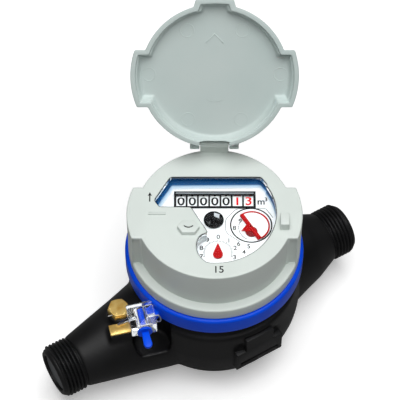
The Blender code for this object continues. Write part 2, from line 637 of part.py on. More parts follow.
def make_pressure_parts():
    """Gasket and pressure plate that part the wet side from the register."""
    gasket_radius = 0.85
    gasket_middle = (GASKET_SEAT_RADIUS + UPPER_GALLERY_RADIUS) / 2
    centre = GASKET_SEAT_HEIGHT + GAP + gasket_radius
    section = arc((gasket_middle, centre), gasket_radius, 90, -210, 5)
    turned("body_gasket", section, "rubber", steps=28, closed=True)
    bottom = PLATE_BOTTOM
    top = bottom + PLATE_THICKNESS
    edge = GASKET_SEAT_RADIUS - GAP
    web = bottom + PLATE_WEB_THICKNESS
    rim = edge - PLATE_RIM_WIDTH
    turned("pressure_plate", [
        (0, web), (rim - 1.5, web), (rim, top), (edge, top), (edge, bottom), (0, bottom)],
        "black plastic", steps=40)


def make_ring(seal_frame):
    """Blue clamp ring, screwed over the neck, with the lug that the seal wire passes through."""
    inner = NECK_RADIUS + RING_THREAD_CLEARANCE
    flange_bottom = RING_TOP - RING_FLANGE_THICKNESS
    opening = CUP_RADIUS + 0.4
    edge = RING_EDGE_ROUND
    outer = arc((RING_RADIUS - edge, RING_TOP - edge), edge, 90, 0, 3)
    ring = turned("clamp_ring", [
        (opening, RING_TOP), *outer, (RING_RADIUS, RING_BOTTOM + 0.6), (RING_RADIUS - 0.6, RING_BOTTOM),
        (inner, RING_BOTTOM), (inner, flange_bottom), (opening, flange_bottom)],
        "blue plastic", steps=48, closed=True)
    azimuth = SEAL_AZIMUTH
    reach = RING_RADIUS - 1.5 + LUG_SIZE[0] / 2
    centre = (reach * math.cos(math.radians(azimuth)), reach * math.sin(math.radians(azimuth)),
              LUG_TOP - LUG_SIZE[2] / 2)
    lug = block("ring lug", LUG_SIZE, centre, turn=(0, 0, azimuth))
    lug_hole_place = (lug_hole_reach() * math.cos(math.radians(azimuth)),
                      lug_hole_reach() * math.sin(math.radians(azimuth)), LUG_TOP - LUG_SIZE[2] / 2)
    hole = rod("lug hole", WIRE_HOLE_RADIUS, LUG_SIZE[1] + 4, lug_hole_place, turn=(90, 0, azimuth),
               segments=12)
    join(ring, lug)
    cut(ring, hole)


def lug_hole_reach():
    """Distance of the lug's wire hole from the register's axis."""
    return RING_RADIUS - 1.5 + LUG_SIZE[0] - 2.8


def make_cup(register):
    """Register cup: a tub that stands in the clamp ring, its foot under the ring's flange."""
    bottom = CUP_BOTTOM
    foot_top = bottom + CUP_FLOOR_THICKNESS
    floor = foot_top + CUP_WELL_DEPTH
    top = window_bottom() - GAP
    inner = CUP_RADIUS - CUP_WALL
    turned("register_cup", [
        (0, foot_top), (CUP_WELL_RADIUS, foot_top), (CUP_WELL_RADIUS, floor), (inner, floor), (inner, top),
        (CUP_RADIUS, top), (CUP_RADIUS, foot_top), (CUP_FOOT_RADIUS, foot_top), (CUP_FOOT_RADIUS, bottom),
        (0, bottom)], "black plastic", steps=40, parent=register)


def window_bottom():
    """Height of the clear window's underside."""
    return FACE_HEIGHT - COVER_TOP_THICKNESS - GAP - WINDOW_THICKNESS


def dial_top():
    """Height of the dial plate's face."""
    return FACE_HEIGHT - DIAL_DEPTH


def make_cover(register):
    """Pale grey register cover: drum, foot flange, two ears, hinge post and raised pads."""
    inner = CUP_RADIUS + 0.4
    bottom = RING_TOP + GAP
    ledge = bottom + FLANGE_THICKNESS
    ceiling = FACE_HEIGHT - COVER_TOP_THICKNESS
    cover = turned("register_cover", [
        (0, FACE_HEIGHT), (COVER_RADIUS - 0.5, FACE_HEIGHT), (COVER_RADIUS, FACE_HEIGHT - 0.5),
        (COVER_RADIUS, ledge + 0.8), (COVER_RADIUS + 0.8, ledge), (FLANGE_RADIUS - 0.7, ledge),
        (FLANGE_RADIUS, ledge - 0.7), (FLANGE_RADIUS, bottom), (inner, bottom), (inner, ceiling),
        (0, ceiling)], "pale grey plastic", steps=52, parent=register)
    groove_inner = COVER_RADIUS + 0.2
    groove_outer = EAR_RADIUS - COVER_WALL
    groove = turned("flange groove", [
        (groove_inner, ledge - COVER_WALL), (groove_outer, ledge - COVER_WALL),
        (groove_outer, bottom - 1), (groove_inner, bottom - 1)], steps=40, closed=True, parent=register)
    for side, word in ((0, "right"), (180, "left")):
        add_ear(cover, register, side, word, ledge)
    cut(cover, groove)
    opening = slab("window opening", [window_outline()], COVER_TOP_THICKNESS + 2, ceiling - 1,
                   parent=register)
    cut(cover, opening)
    add_hinge_post(cover, register)
    add_face_pads(cover, register)


def add_ear(cover, register, side, word, ledge):
    """One side ear of the cover, hollow from below, its front end set back behind a thin skin."""
    half = EAR_HALF_WIDTH
    outer_angle = math.degrees(math.asin(half / EAR_RADIUS))
    inner_angle = math.degrees(math.asin(half / (COVER_RADIUS - 0.8)))
    outline = arc((0, 0), EAR_RADIUS, side - outer_angle, side + outer_angle, 8)
    outline += arc((0, 0), COVER_RADIUS - 0.8, side + inner_angle, side - inner_angle, 8)
    ear = slab(f"{word} ear", [outline], FACE_HEIGHT - ledge + 0.4, ledge - 0.4, parent=register)
    join(cover, ear)
    skin = EAR_RADIUS - COVER_WALL
    pocket_half = half - COVER_WALL
    pocket_outer = math.degrees(math.asin(pocket_half / skin))
    pocket_inner = math.degrees(math.asin(pocket_half / (COVER_RADIUS + 0.6)))
    pocket_outline = arc((0, 0), skin - 0.4, side - pocket_outer, side + pocket_outer, 8)
    pocket_outline += arc((0, 0), COVER_RADIUS + 0.6, side + pocket_inner, side - pocket_inner, 8)
    height = FACE_HEIGHT - COVER_TOP_THICKNESS - (ledge - COVER_WALL - 0.5)
    pocket = slab(f"{word} ear pocket", [pocket_outline], height, ledge - COVER_WALL - 0.5,
                  parent=register)
    sign = 1 if side == 0 else -1
    setback = block(f"{word} ear setback", (3.6, 2.0, FACE_HEIGHT - ledge - 0.6),
                    (sign * (EAR_RADIUS - 4.9), -half - 0.1, (FACE_HEIGHT + ledge) / 2 - 0.9),
                    parent=register)
    cut(cover, pocket, setback)


def add_hinge_post(cover, register):
    """Post and knuckle at the back of the cover, with the hinge pin's hole."""
    back, height = HINGE_PLACE
    post_front = back - KNUCKLE_RADIUS + 0.3
    post_back = back + KNUCKLE_RADIUS - 0.3
    post_bottom = FACE_HEIGHT - COVER_TOP_THICKNESS
    post = block("hinge post", (2 * KNUCKLE_HALF_WIDTH, post_back - post_front,
                                height + COVER_TOP_THICKNESS),
                 (0, back, post_bottom + (height + COVER_TOP_THICKNESS) / 2), parent=register)
    knuckle = rod("cover knuckle", KNUCKLE_RADIUS, 2 * KNUCKLE_HALF_WIDTH - 0.02,
                  (0, back, FACE_HEIGHT + height), turn=(0, 90, 0), parent=register)
    pin_hole = rod("cover pin hole", HINGE_PIN_RADIUS + GAP, 2 * KNUCKLE_HALF_WIDTH + 2,
                   (0, back, FACE_HEIGHT + height), turn=(0, 90, 0), parent=register, segments=16)
    join(cover, post, knuckle)
    cut(cover, pin_hole)


def add_face_pads(cover, register):
    """Raised hexagonal pad with a curved slot, a square nib and a small ramp on the face."""
    x, y = HEX_PAD_CENTRE
    pad_outline = [(x + 2.9, y + 3.4), (x - 2.9, y + 3.4), (x - 5.2, y), (x - 2.9, y - 3.4),
                   (x + 2.9, y - 3.4), (x + 5.2, y)]
    pad = layered("hexagonal pad", pad_outline, [
        (0, FACE_HEIGHT - 0.5), (0, FACE_HEIGHT + HEX_PAD_HEIGHT - 0.35),
        (-0.35, FACE_HEIGHT + HEX_PAD_HEIGHT)], parent=register)
    smile = arc((x, y + 1.85), 2.7, 216, 324, 6) + arc((x, y + 1.85), 2.2, 320, 220, 6)
    slot = slab("curved slot", [smile], 2.0, FACE_HEIGHT + HEX_PAD_HEIGHT - 1.2, parent=register)
    nib = block("face nib", (NIB_SIZE[0], NIB_SIZE[1], NIB_SIZE[2] + 0.5),
                (*NIB_CENTRE, FACE_HEIGHT + NIB_SIZE[2] / 2 - 0.25), parent=register)
    ramp = block("face ramp", (RAMP_SIZE[0], RAMP_SIZE[1], RAMP_SIZE[2]),
                 (*RAMP_CENTRE, FACE_HEIGHT - 0.05), parent=register, turn=(-18, 0, 0))
    join(cover, pad, nib, ramp)
    cut(cover, slot)


def make_window(register):
    """Clear disc on the cup's rim, with a raised pad that fills the cover's opening."""
    bottom = window_bottom()
    top = bottom + WINDOW_THICKNESS
    radius = CUP_RADIUS - 0.3
    window = turned("window", [(0, top), (radius, top), (radius, bottom), (0, bottom)],
                    "clear plastic", steps=40, parent=register)
    pad = slab("window pad", [spread(window_outline(), -WINDOW_EDGE_CLEARANCE)],
               FACE_HEIGHT - 0.5 - top + 0.5, top - 0.5, parent=register)
    join(window, pad)


def make_dial(register):
    """Dial plate, the blue bezel wall round it and the black counter mask."""
    top = dial_top()
    radius = CUP_RADIUS - CUP_WALL - GAP
    dial = turned("dial_plate", [
        (0, top), (radius, top), (radius, top - DIAL_THICKNESS), (0, top - DIAL_THICKNESS)],
        "white plastic", steps=40, parent=register)
    chord = math.sqrt(DRUM_RADIUS ** 2 - (DRUM_RADIUS - DRUM_SINK - DIAL_THICKNESS) ** 2)
    slot_size = (DRUM_COUNT * DRUM_PITCH + 0.6, 2 * (chord + 0.4), 4.0)
    slot = block("counter slot", slot_size, (*COUNTER_CENTRE, top), parent=register)
    cut(dial, slot)
    for word, place in (("star", STAR_PLACE), ("drop", DROP_PLACE), ("sweep", SWEEP_PLACE)):
        cut(dial, rod(f"{word} hole", STEM_RADIUS + GAP, 4.0, (*place, top), parent=register, segments=12))
    bezel_bottom = top + GAP
    slab("dial_bezel", [spread(window_outline(), BEZEL_WALL), window_outline()],
         window_bottom() - GAP - bezel_bottom, bezel_bottom, "deep blue plastic", parent=register)
    half_x, half_y = MASK_SIZE[0] / 2, MASK_SIZE[1] / 2
    frame = [(-half_x, -half_y), (half_x, -half_y), (half_x, half_y), (-half_x, half_y)]
    cells = []
    for i in range(DRUM_COUNT):
        middle = (i - (DRUM_COUNT - 1) / 2) * DRUM_PITCH
        left, right = middle - CELL_SIZE[0] / 2, middle + CELL_SIZE[0] / 2
        low, high = -CELL_SIZE[1] / 2, CELL_SIZE[1] / 2
        cells.append([(left, low), (right, low), (right, high), (left, high)])
    slab("counter_mask", [frame, *cells], MASK_THICKNESS, top + GAP, "black plastic", parent=register,
         place=COUNTER_CENTRE)


def drum_height():
    """Height of the drum axle above the foot."""
    return dial_top() - DRUM_SINK - DRUM_RADIUS


def make_counter(register):
    """Seven digit drums on one axle, and the gear case that carries them under the dial."""
    x, y = COUNTER_CENTRE
    z = drum_height()
    hub = AXLE_RADIUS + GAP
    half = DRUM_WIDTH / 2
    rim = DRUM_RADIUS - 1.5
    for i in range(DRUM_COUNT):
        middle = x + (i - (DRUM_COUNT - 1) / 2) * DRUM_PITCH
        turned(f"digit_drum_{i + 1}", [
            (hub, half), (DRUM_RADIUS, half), (DRUM_RADIUS, -half), (rim, -half), (rim, half - 1.2),
            (2.4, half - 1.2), (2.4, -half), (hub, -half)], "white plastic", steps=20, closed=True,
            parent=register, place=(middle, y, z), turn=(0, 90, 0))
    case_bottom = CUP_BOTTOM + CUP_FLOOR_THICKNESS + CUP_WELL_DEPTH + GAP
    case_top = dial_top() - DIAL_THICKNESS - GAP
    radius = CUP_RADIUS - CUP_WALL - GAP
    case = turned("gear_case", [
        (0, case_top), (radius, case_top), (radius, case_bottom), (0, case_bottom)],
        "natural plastic", steps=40, parent=register)
    trough_length = DRUM_COUNT * DRUM_PITCH + 1.0
    trough_radius = DRUM_RADIUS + 0.6
    trough = block("drum trough", (trough_length, 2 * trough_radius, case_top + 2 - z + trough_radius),
                   (x, y, (case_top + 2 + z - trough_radius) / 2), parent=register)
    axle_length = trough_length + 4.0
    axle_hole = rod("axle hole", AXLE_RADIUS + GAP, axle_length + 2 * GAP, (x, y, z), turn=(0, 90, 0),
                    parent=register, segments=16)
    cut(case, trough, axle_hole)
    for word, place in (("star", STAR_PLACE), ("drop", DROP_PLACE), ("sweep", SWEEP_PLACE)):
        cut(case, rod(f"{word} socket", STEM_RADIUS + GAP, 2 * STEM_DEPTH, (*place, case_top),
                      parent=register, segments=12))
    spindle_hole = rod("follower socket", STEM_RADIUS + GAP, 2 * STEM_DEPTH, (0, 0, case_bottom),
                       parent=register, segments=12)
    cut(case, spindle_hole)
    rod("drum_axle", AXLE_RADIUS, axle_length, (x, y, z), "steel", parent=register, turn=(0, 90, 0),
        segments=16)
    follower_top = case_bottom - GAP
    follower_bottom = CUP_BOTTOM + CUP_FLOOR_THICKNESS + GAP
    turned("follower_magnet", [
        (0, case_bottom + STEM_DEPTH - GAP), (STEM_RADIUS, case_bottom + STEM_DEPTH - GAP),
        (STEM_RADIUS, follower_top), (FOLLOWER_RADIUS, follower_top), (FOLLOWER_RADIUS, follower_bottom),
        (0, follower_bottom)], "magnet", steps=24, parent=register)


def make_pointers(register):
    """Flow star, red drop pointer and the half-disc modulator, each on a stem in the gear case."""
    bottom = dial_top() + GAP
    case_top = dial_top() - DIAL_THICKNESS - GAP
    stem_bottom = case_top - STEM_DEPTH + GAP

    def add_stem(pointer, place):
        top = bottom + 0.3
        stem = rod(f"{pointer.name} stem", STEM_RADIUS, top - stem_bottom,
                   (*place, (top + stem_bottom) / 2), parent=register, segments=12)
        join(pointer, stem)

    star = []
    for i in range(16):
        radius = STAR_RADIUS if i % 2 == 0 else STAR_RADIUS * 0.76
        angle = TAU * i / 16
        star.append((radius * math.cos(angle), radius * math.sin(angle)))
    indicator = slab("flow_indicator", [star], 1.3, bottom, "black plastic", parent=register,
                     place=STAR_PLACE)
    add_stem(indicator, STAR_PLACE)
    round_end = DROP_WIDTH / 2
    tip = DROP_LENGTH - round_end - 1.4
    drop = [(0, tip)] + arc((0, -1.4 + round_end - 2.25), round_end, 158, 382, 14)
    pointer = slab("drop_pointer", [drop], 0.8, bottom, "red plastic", parent=register, place=DROP_PLACE)
    add_stem(pointer, DROP_PLACE)
    start = SWEEP_BAR_ANGLE
    half_disc = arc((0, 0), SWEEP_RADIUS, start, start + 180, 16)
    half_disc += arc((0, 0), 0.5 * SWEEP_RADIUS, start + 200, start + 340, 5)
    carrier = slab("modulator_carrier", [half_disc], 0.9, bottom, "red plastic", parent=register,
                   place=SWEEP_PLACE)
    add_stem(carrier, SWEEP_PLACE)
    foil = arc((0, 0), 0.9 * SWEEP_RADIUS, start + 9, start + 171, 14)
    slab("modulator_foil", [foil], 0.3, bottom + 0.9, "silver foil", parent=register, place=SWEEP_PLACE)


def make_lid(register):
    """Lid shell, modelled shut and turned open about its hinge, with lugs either side of the post."""
    back, height = HINGE_PLACE
    hinge = add_empty("lid hinge axis", register, (0, back, FACE_HEIGHT + height), (-LID_OPEN, 0, 0))
    rim = GAP - height
    outer = lid_outline()
    shut = (0, -back, 0)
    top = rim + LID_DEPTH
    lid = layered("lid", outer, [
        (0, rim), (0, rim + 0.12 * LID_DEPTH), (-0.3 * LID_CROWN, rim + 0.52 * LID_DEPTH),
        (-0.7 * LID_CROWN, top - 0.7), (-LID_CROWN, top)], "lid grey plastic", hinge, shut)
    ceiling = top - LID_TOP_THICKNESS
    inside = layered("lid inside", outer, [
        (-LID_WALL, rim - 1), (-LID_WALL, rim), (-LID_WALL - 0.2 * LID_CROWN, rim + 0.18 * LID_DEPTH),
        (-LID_WALL - 0.65 * LID_CROWN, ceiling - 0.6), (-LID_WALL - 0.88 * LID_CROWN, ceiling)],
        parent=hinge, place=shut)
    nib_clear, nib_swing = 0.4, 1.2
    nib_room = NIB_SIZE[2] + GAP + nib_clear + 1.0
    recess = block("nib recess", (NIB_SIZE[0] + 2 * nib_clear, NIB_SIZE[1] + nib_clear + nib_swing, nib_room),
                   (NIB_CENTRE[0], NIB_CENTRE[1] + (nib_swing - nib_clear) / 2 - back,
                    nib_clear + NIB_SIZE[2] - height - nib_room / 2), parent=hinge)
    cut(lid, inside, recess)
    lug_middle = KNUCKLE_HALF_WIDTH + GAP + LUG_WIDTH / 2
    web_low, web_high = rim + 1.8, top + 0.2
    for side, word in ((-1, "left"), (1, "right")):
        lug = rod(f"{word} lid lug", KNUCKLE_RADIUS - 0.1, LUG_WIDTH, (side * lug_middle, 0, 0),
                  parent=hinge, turn=(0, 90, 0))
        web = block(f"{word} lug web", (LUG_WIDTH - 0.02, LUG_WEB_DEPTH, web_high - web_low),
                    (side * lug_middle, -LUG_WEB_DEPTH / 2 - 0.4, (web_high + web_low) / 2), parent=hinge)
        join(lid, web, lug)
    clearance = KNUCKLE_RADIUS + 0.5
    gate = block("post clearance", (2 * (KNUCKLE_HALF_WIDTH + GAP), 2 * clearance + 2.0, 2 * LID_DEPTH + 4),
                 (0, 1.0, 0), parent=hinge)
    pin_hole = rod("lid pin hole", HINGE_PIN_RADIUS + 0.05, 2 * (lug_middle + LUG_WIDTH), (0, 0, 0),
                   parent=hinge, turn=(0, 90, 0), segments=16)
    cut(lid, gate, pin_hole)
    pin_length = 2 * (lug_middle + LUG_WIDTH / 2) - 0.4
    rod("hinge_pin", HINGE_PIN_RADIUS - 0.02, pin_length, (0, 0, 0), "steel", parent=hinge,
        turn=(0, 90, 0), segments=16)


def make_plug():
    """Brass regulator plug: hexagonal head, drilled for the wire, and its shank in the boss."""
    x, y = PLUG_PLACE
    head_bottom = BOSS_TOP + GAP
    plug = rod("regulator_plug", PLUG_CORNER_RADIUS, PLUG_HEAD_HEIGHT,
               (x, y, head_bottom + PLUG_HEAD_HEIGHT / 2), "brass", turn=(0, 0, SEAL_TURN + 90), segments=6)
    shank_top = head_bottom + 0.5
    shank_bottom = BOSS_TOP - PLUG_SHANK_LENGTH
    shank = rod("plug shank", PLUG_SHANK_RADIUS, shank_top - shank_bottom,
                (x, y, (shank_top + shank_bottom) / 2))
    hole = rod("plug wire hole", WIRE_HOLE_RADIUS, 4 * PLUG_CORNER_RADIUS,
               seal_point(PLUG_PLACE, (0, PLUG_HOLE_OFFSET), head_bottom + PLUG_HEAD_HEIGHT / 2),
               turn=(90, 0, SEAL_TURN + 90), segments=12)
    join(plug, shank)
    cut(plug, hole)


def seal_point(origin, offset, height):
    """Point at an offset along the seal's own directions from a place on the body."""
    angle = math.radians(SEAL_TURN)
    x = origin[0] + offset[0] * math.cos(angle) - offset[1] * math.sin(angle)
    y = origin[1] + offset[0] * math.sin(angle) + offset[1] * math.cos(angle)
    return (x, y, height)


def strip_place(height):
    """Middle of the brass strip, beside the plug's boss, at a height."""
    beside = BOSS_RADIUS + BOSS_DRAFT / 4 + GAP + STRIP_SIZE[1] / 2
    return seal_point(PLUG_PLACE, (STRIP_SHIFT, -beside), height)


def make_strip():
    """Brass strip that lies on its seat beside the plug."""
    block("seal_strip", STRIP_SIZE, strip_place(STRIP_SEAT_TOP + GAP + STRIP_SIZE[2] / 2), "brass",
          turn=(0, 0, SEAL_TURN))


def make_seal(seal_frame):
    """Clear seal case on the ring's lug, the blue rotor in it, and its handle."""
    length, depth, height = SEAL_SIZE
    case = block("seal_case", SEAL_SIZE, (0, 0, 0), "clear plastic", parent=seal_frame)
    bore_length = ROTOR_LENGTH + 2
    bore = rod("rotor bore", ROTOR_RADIUS + GAP, bore_length,
               (0, -depth / 2 - 2 + bore_length / 2, 0), parent=seal_frame, turn=(90, 0, 0), segments=20)
    wire_bore = rod("case wire hole", WIRE_HOLE_RADIUS, length + 4, (0, 0, 0), parent=seal_frame,
                    turn=(0, 90, 0), segments=12)
    cut(case, bore, wire_bore)
    rotor_length = ROTOR_LENGTH - GAP
    rotor = rod("seal_rotor", ROTOR_RADIUS, rotor_length, (0, -depth / 2 + rotor_length / 2, 0),
                "blue plastic", parent=seal_frame, turn=(90, 0, 0), segments=20)
    width, reach, thickness = HANDLE_SIZE
    handle_loop = arc((0, -depth / 2 - reach + width / 2), width / 2, 180, 360, 8)
    handle_loop += [(width / 2, -depth / 2 + 1.0), (-width / 2, -depth / 2 + 1.0)]
    handle = slab("handle", [handle_loop], thickness, -thickness / 2, parent=seal_frame)
    collar = rod("rotor collar", ROTOR_RADIUS + 0.9, 1.2, (0, -depth / 2 - GAP - 0.6, 0),
                 parent=seal_frame, turn=(90, 0, 0), segments=20)
    cross_hole = rod("rotor cross hole", WIRE_HOLE_RADIUS, 4 * ROTOR_RADIUS, (0, 0, 0),
                     parent=seal_frame, turn=(0, 90, 0), segments=12)
    join(rotor, collar, handle)
    cut(rotor, cross_hole)


def smooth_route(points, count):
    """Catmull-Rom points through a route."""
    route = []
    knots = [Vector(point) for point in points]
    knots = [2 * knots[0] - knots[1]] + knots + [2 * knots[-1] - knots[-2]]
    for i in range(1, len(knots) - 2):
        for step in range(count):
            t = step / count
            a, b, c, d = knots[i - 1:i + 3]
            route.append(0.5 * (2 * b + (c - a) * t + (2 * a - 5 * b + 4 * c - d) * t * t
                                + (3 * b - a - 3 * c + d) * t ** 3))
    route.append(knots[-2])
    return route


def make_wire():
    """Steel seal wire: through the plug's head, across the seal case and rotor, and into the lug."""
    head_middle = BOSS_TOP + GAP + PLUG_HEAD_HEIGHT / 2
    seal_middle = LUG_TOP + GAP + SEAL_SIZE[2] / 2
    lug_middle = LUG_TOP - LUG_SIZE[2] / 2
    half = SEAL_SIZE[0] / 2
    toward_axis = Vector(SEAL_PLACE).normalized()
    hole = toward_axis * lug_hole_reach()
    across = Vector((-toward_axis.y, toward_axis.x))
    lug_in = hole + across * 4.0
    lug_out = hole - across * 3.6
    route = [seal_point(PLUG_PLACE, (-5.6, PLUG_HOLE_OFFSET), head_middle),
             seal_point(PLUG_PLACE, (0.0, PLUG_HOLE_OFFSET), head_middle),
             seal_point(PLUG_PLACE, (4.6, PLUG_HOLE_OFFSET), head_middle),
             seal_point(PLUG_PLACE, (5.2, -7.0), head_middle + 4.0),
             seal_point(SEAL_PLACE, (-half - 4.6, 2.2), seal_middle - 4.4),
             seal_point(SEAL_PLACE, (-half - 2.6, 0.0), seal_middle - 0.6),
             seal_point(SEAL_PLACE, (-half, 0.0), seal_middle),
             seal_point(SEAL_PLACE, (half + 0.4, 0.0), seal_middle),
             seal_point(SEAL_PLACE, (half + 2.4, -0.3), seal_middle - 1.4),
             seal_point(SEAL_PLACE, (half + 2.6, -0.6), seal_middle - 4.2),
             (lug_in.x, lug_in.y, lug_middle), (hole.x, hole.y, lug_middle),
             (lug_out.x, lug_out.y, lug_middle)]
    curve = bpy.data.curves.new("seal_wire", "CURVE")
    curve.dimensions = "3D"
    curve.bevel_depth = WIRE_RADIUS * MM
    curve.bevel_resolution = 2
    curve.use_fill_caps = True
    points = smooth_route(route, 3)
    spline = curve.splines.new("POLY")
    spline.points.add(len(points) - 1)
    for point, co in zip(spline.points, points):
        point.co = (*(co * MM), 1.0)
    curve.materials.append(finish("steel"))
    wire = bpy.data.objects.new("seal_wire", curve)
    bpy.data.collections["Water meter"].objects.link(wire)


def main():
    """Build every piece of the meter."""
    start_scene()
    register = add_empty("register axis", turn=(0, 0, REGISTER_TURN))
    seal_middle = LUG_TOP + GAP + SEAL_SIZE[2] / 2
    seal_frame = add_empty("seal directions", place=(*SEAL_PLACE, seal_middle), turn=(0, 0, SEAL_TURN))
    make_body()
    make_strainer()
    make_chamber()
    make_impeller()
    make_pressure_parts()
    make_ring(seal_frame)
    make_cup(register)
    make_cover(register)
    make_window(register)
    make_dial(register)
    make_counter(register)
    make_pointers(register)
    make_lid(register)
    make_plug()
    make_strip()
    make_seal(seal_frame)
    make_wire()


main()
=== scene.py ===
import functools
import math

import bmesh
import bpy
from mathutils import Matrix, Vector


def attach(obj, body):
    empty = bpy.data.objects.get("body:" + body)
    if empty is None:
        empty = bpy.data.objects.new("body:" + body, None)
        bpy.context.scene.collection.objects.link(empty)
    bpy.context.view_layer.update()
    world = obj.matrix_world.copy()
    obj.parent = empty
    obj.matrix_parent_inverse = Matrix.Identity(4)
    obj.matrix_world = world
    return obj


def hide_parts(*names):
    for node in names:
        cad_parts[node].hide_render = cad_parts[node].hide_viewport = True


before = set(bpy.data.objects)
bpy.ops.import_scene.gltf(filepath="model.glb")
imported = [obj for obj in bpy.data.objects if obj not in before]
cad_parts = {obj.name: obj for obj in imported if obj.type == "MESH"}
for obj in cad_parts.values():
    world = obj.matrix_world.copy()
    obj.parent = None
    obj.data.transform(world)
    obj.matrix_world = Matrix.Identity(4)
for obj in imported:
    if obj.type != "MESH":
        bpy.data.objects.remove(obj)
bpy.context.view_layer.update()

# Meter body
# The body is one black glass-filled composite moulding: a round bowl with a flared horn on each
# side. It comes from a steel tool, so the horns run into the bowl in soft fillets, and the skin
# has a fine matt grain.
MM = 0.001
GAP = 0.3
PIPE_HEIGHT, BORE_RADIUS = 24.5, 9.25
INLET_REACH, OUTLET_REACH = 89.0, 76.0
THREAD_LENGTH = 13.0
pipe_line = Matrix.Translation((0, 0, PIPE_HEIGHT * MM))


def mm(x, y, z):
    """A place in metres from lengths in mm."""
    return Vector((x, y, z)) * MM


def shift(x, y, z):
    """A move by lengths in mm."""
    return Matrix.Translation(mm(x, y, z))


def quarter(axis):
    """A quarter turn about an axis."""
    return Matrix.Rotation(math.pi / 2, 4, axis)


def turn_profile(shape, profile, steps=144, place=Matrix()):
    """Add a profile of (radius, height) points in mm, turned about the local Z axis."""
    rings = []
    for radius, height in profile:
        count = 1 if radius < 1e-6 else steps
        ring = []
        for k in range(count):
            turn = math.tau * k / steps
            point = mm(radius * math.cos(turn), radius * math.sin(turn), height)
            ring.append(shape.verts.new(place @ point))
        rings.append(ring)
    pairs = list(zip(rings, rings[1:]))
    if len(rings[0]) > 1 and len(rings[-1]) > 1:
        pairs.append((rings[-1], rings[0]))
    for upper, lower in pairs:
        for k in range(steps):
            n = (k + 1) % steps
            if len(upper) == 1:
                shape.faces.new((upper[0], lower[k], lower[n]))
            elif len(lower) == 1:
                shape.faces.new((upper[k], lower[0], upper[n]))
            else:
                shape.faces.new((upper[k], lower[k], lower[n], upper[n]))


def new_piece(name, shape, material=None, sharp=30.0):
    """Close a bmesh into a smooth-shaded object with its faces outwards."""
    bmesh.ops.recalc_face_normals(shape, faces=shape.faces)
    mesh = bpy.data.meshes.new(name)
    shape.to_mesh(mesh)
    shape.free()
    mesh.shade_smooth()
    mesh.set_sharp_from_angle(angle=math.radians(sharp))
    piece = bpy.data.objects.new(name, mesh)
    bpy.context.scene.collection.objects.link(piece)
    if material:
        mesh.materials.append(material)
    return piece


def turned_piece(name, profile, material=None, steps=144, place=Matrix()):
    """One turned piece of its own."""
    shape = bmesh.new()
    turn_profile(shape, profile, steps, place)
    return new_piece(name, shape, material)


def bake(piece, sharp=None):
    """Turn a piece's modifiers into its plain mesh."""
    graph = bpy.context.evaluated_depsgraph_get()
    mesh = bpy.data.meshes.new_from_object(piece.evaluated_get(graph))
    piece.modifiers.clear()
    piece.data = mesh
    if sharp:
        mesh.shade_smooth()
        mesh.set_sharp_from_angle(angle=math.radians(sharp))
    return piece


def work(piece, tool, operation="DIFFERENCE"):
    """Cut with a tool, or join it, and throw the tool away."""
    boolean = piece.modifiers.new("Work", "BOOLEAN")
    boolean.operation = operation
    boolean.solver = "EXACT"
    boolean.object = tool
    bake(piece)
    bpy.data.objects.remove(tool)
    return piece


EDGE_ANGLE = 32.0


def ease_edges(piece, width, segments=2):
    """Break a piece's edges with a small rounding, as a moulding or a turned part has."""
    bevel = piece.modifiers.new("Broken edges", "BEVEL")
    bevel.width = width * MM
    bevel.segments = segments
    bevel.limit_method = "ANGLE"
    bevel.angle_limit = math.radians(EDGE_ANGLE)
    bevel.use_clamp_overlap = False
    bevel.miter_outer = "MITER_ARC"
    return bake(piece, sharp=EDGE_ANGLE)


def eased(points, closed=False, steps=5):
    """Round the corners of an outline; a point's third number is its corner radius."""
    result = []
    count = len(points)
    for i, point in enumerate(points):
        here = Vector(point[:2])
        radius = point[2] if len(point) > 2 else 0.0
        if radius <= 0 or (not closed and i in (0, count - 1)):
            result.append(tuple(here))
            continue
        back = Vector(points[i - 1][:2]) - here
        ahead = Vector(points[(i + 1) % count][:2]) - here
        half = back.angle(ahead) / 2
        run = min(radius / math.tan(half), 0.49 * back.length, 0.49 * ahead.length)
        radius = run * math.tan(half)
        middle = here + (back.normalized() + ahead.normalized()).normalized() * radius / math.sin(half)
        first = here + back.normalized() * run - middle
        last = here + ahead.normalized() * run - middle
        sweep = first.angle_signed(last)
        for k in range(steps + 1):
            turned = first.copy()
            turned.rotate(Matrix.Rotation(-sweep * k / steps, 2))
            result.append(tuple(middle + turned))
    return result


def new_finish(name, colour, roughness, metallic=0.0, specular=0.5):
    """A Principled material of one colour, roughness and level of shine, to be varied by textures."""
    material = bpy.data.materials.new(name)
    material.use_nodes = True
    shader = material.node_tree.nodes["Principled BSDF"]
    shader.inputs["Base Color"].default_value = (*colour, 1.0)
    shader.inputs["Roughness"].default_value = roughness
    shader.inputs["Metallic"].default_value = metallic
    shader.inputs["Specular IOR Level"].default_value = specular
    return material


def paint(piece, material):
    """Leave one material on a piece."""
    piece.data.materials.clear()
    piece.data.materials.append(material)


def srgb(red, green, blue):
    """Linear colour of an sRGB colour given from 0 to 255."""
    return tuple((c / 255 / 12.92) if c / 255 <= 0.04045 else ((c / 255 + 0.055) / 1.055) ** 2.4
                 for c in (red, green, blue))


def add_texture(material, scale, detail=3.0, stretch=(1, 1, 1), kind="ShaderNodeTexNoise"):
    """A texture node on Object coordinates, noise unless another kind is named."""
    nodes, links = material.node_tree.nodes, material.node_tree.links
    place = nodes.new("ShaderNodeTexCoord")
    mapping = nodes.new("ShaderNodeMapping")
    mapping.inputs["Scale"].default_value = stretch
    texture = nodes.new(kind)
    texture.inputs["Scale"].default_value = scale
    if "Detail" in texture.inputs:
        texture.inputs["Detail"].default_value = detail
    links.new(place.outputs["Object"], mapping.inputs["Vector"])
    links.new(mapping.outputs["Vector"], texture.inputs["Vector"])
    return texture


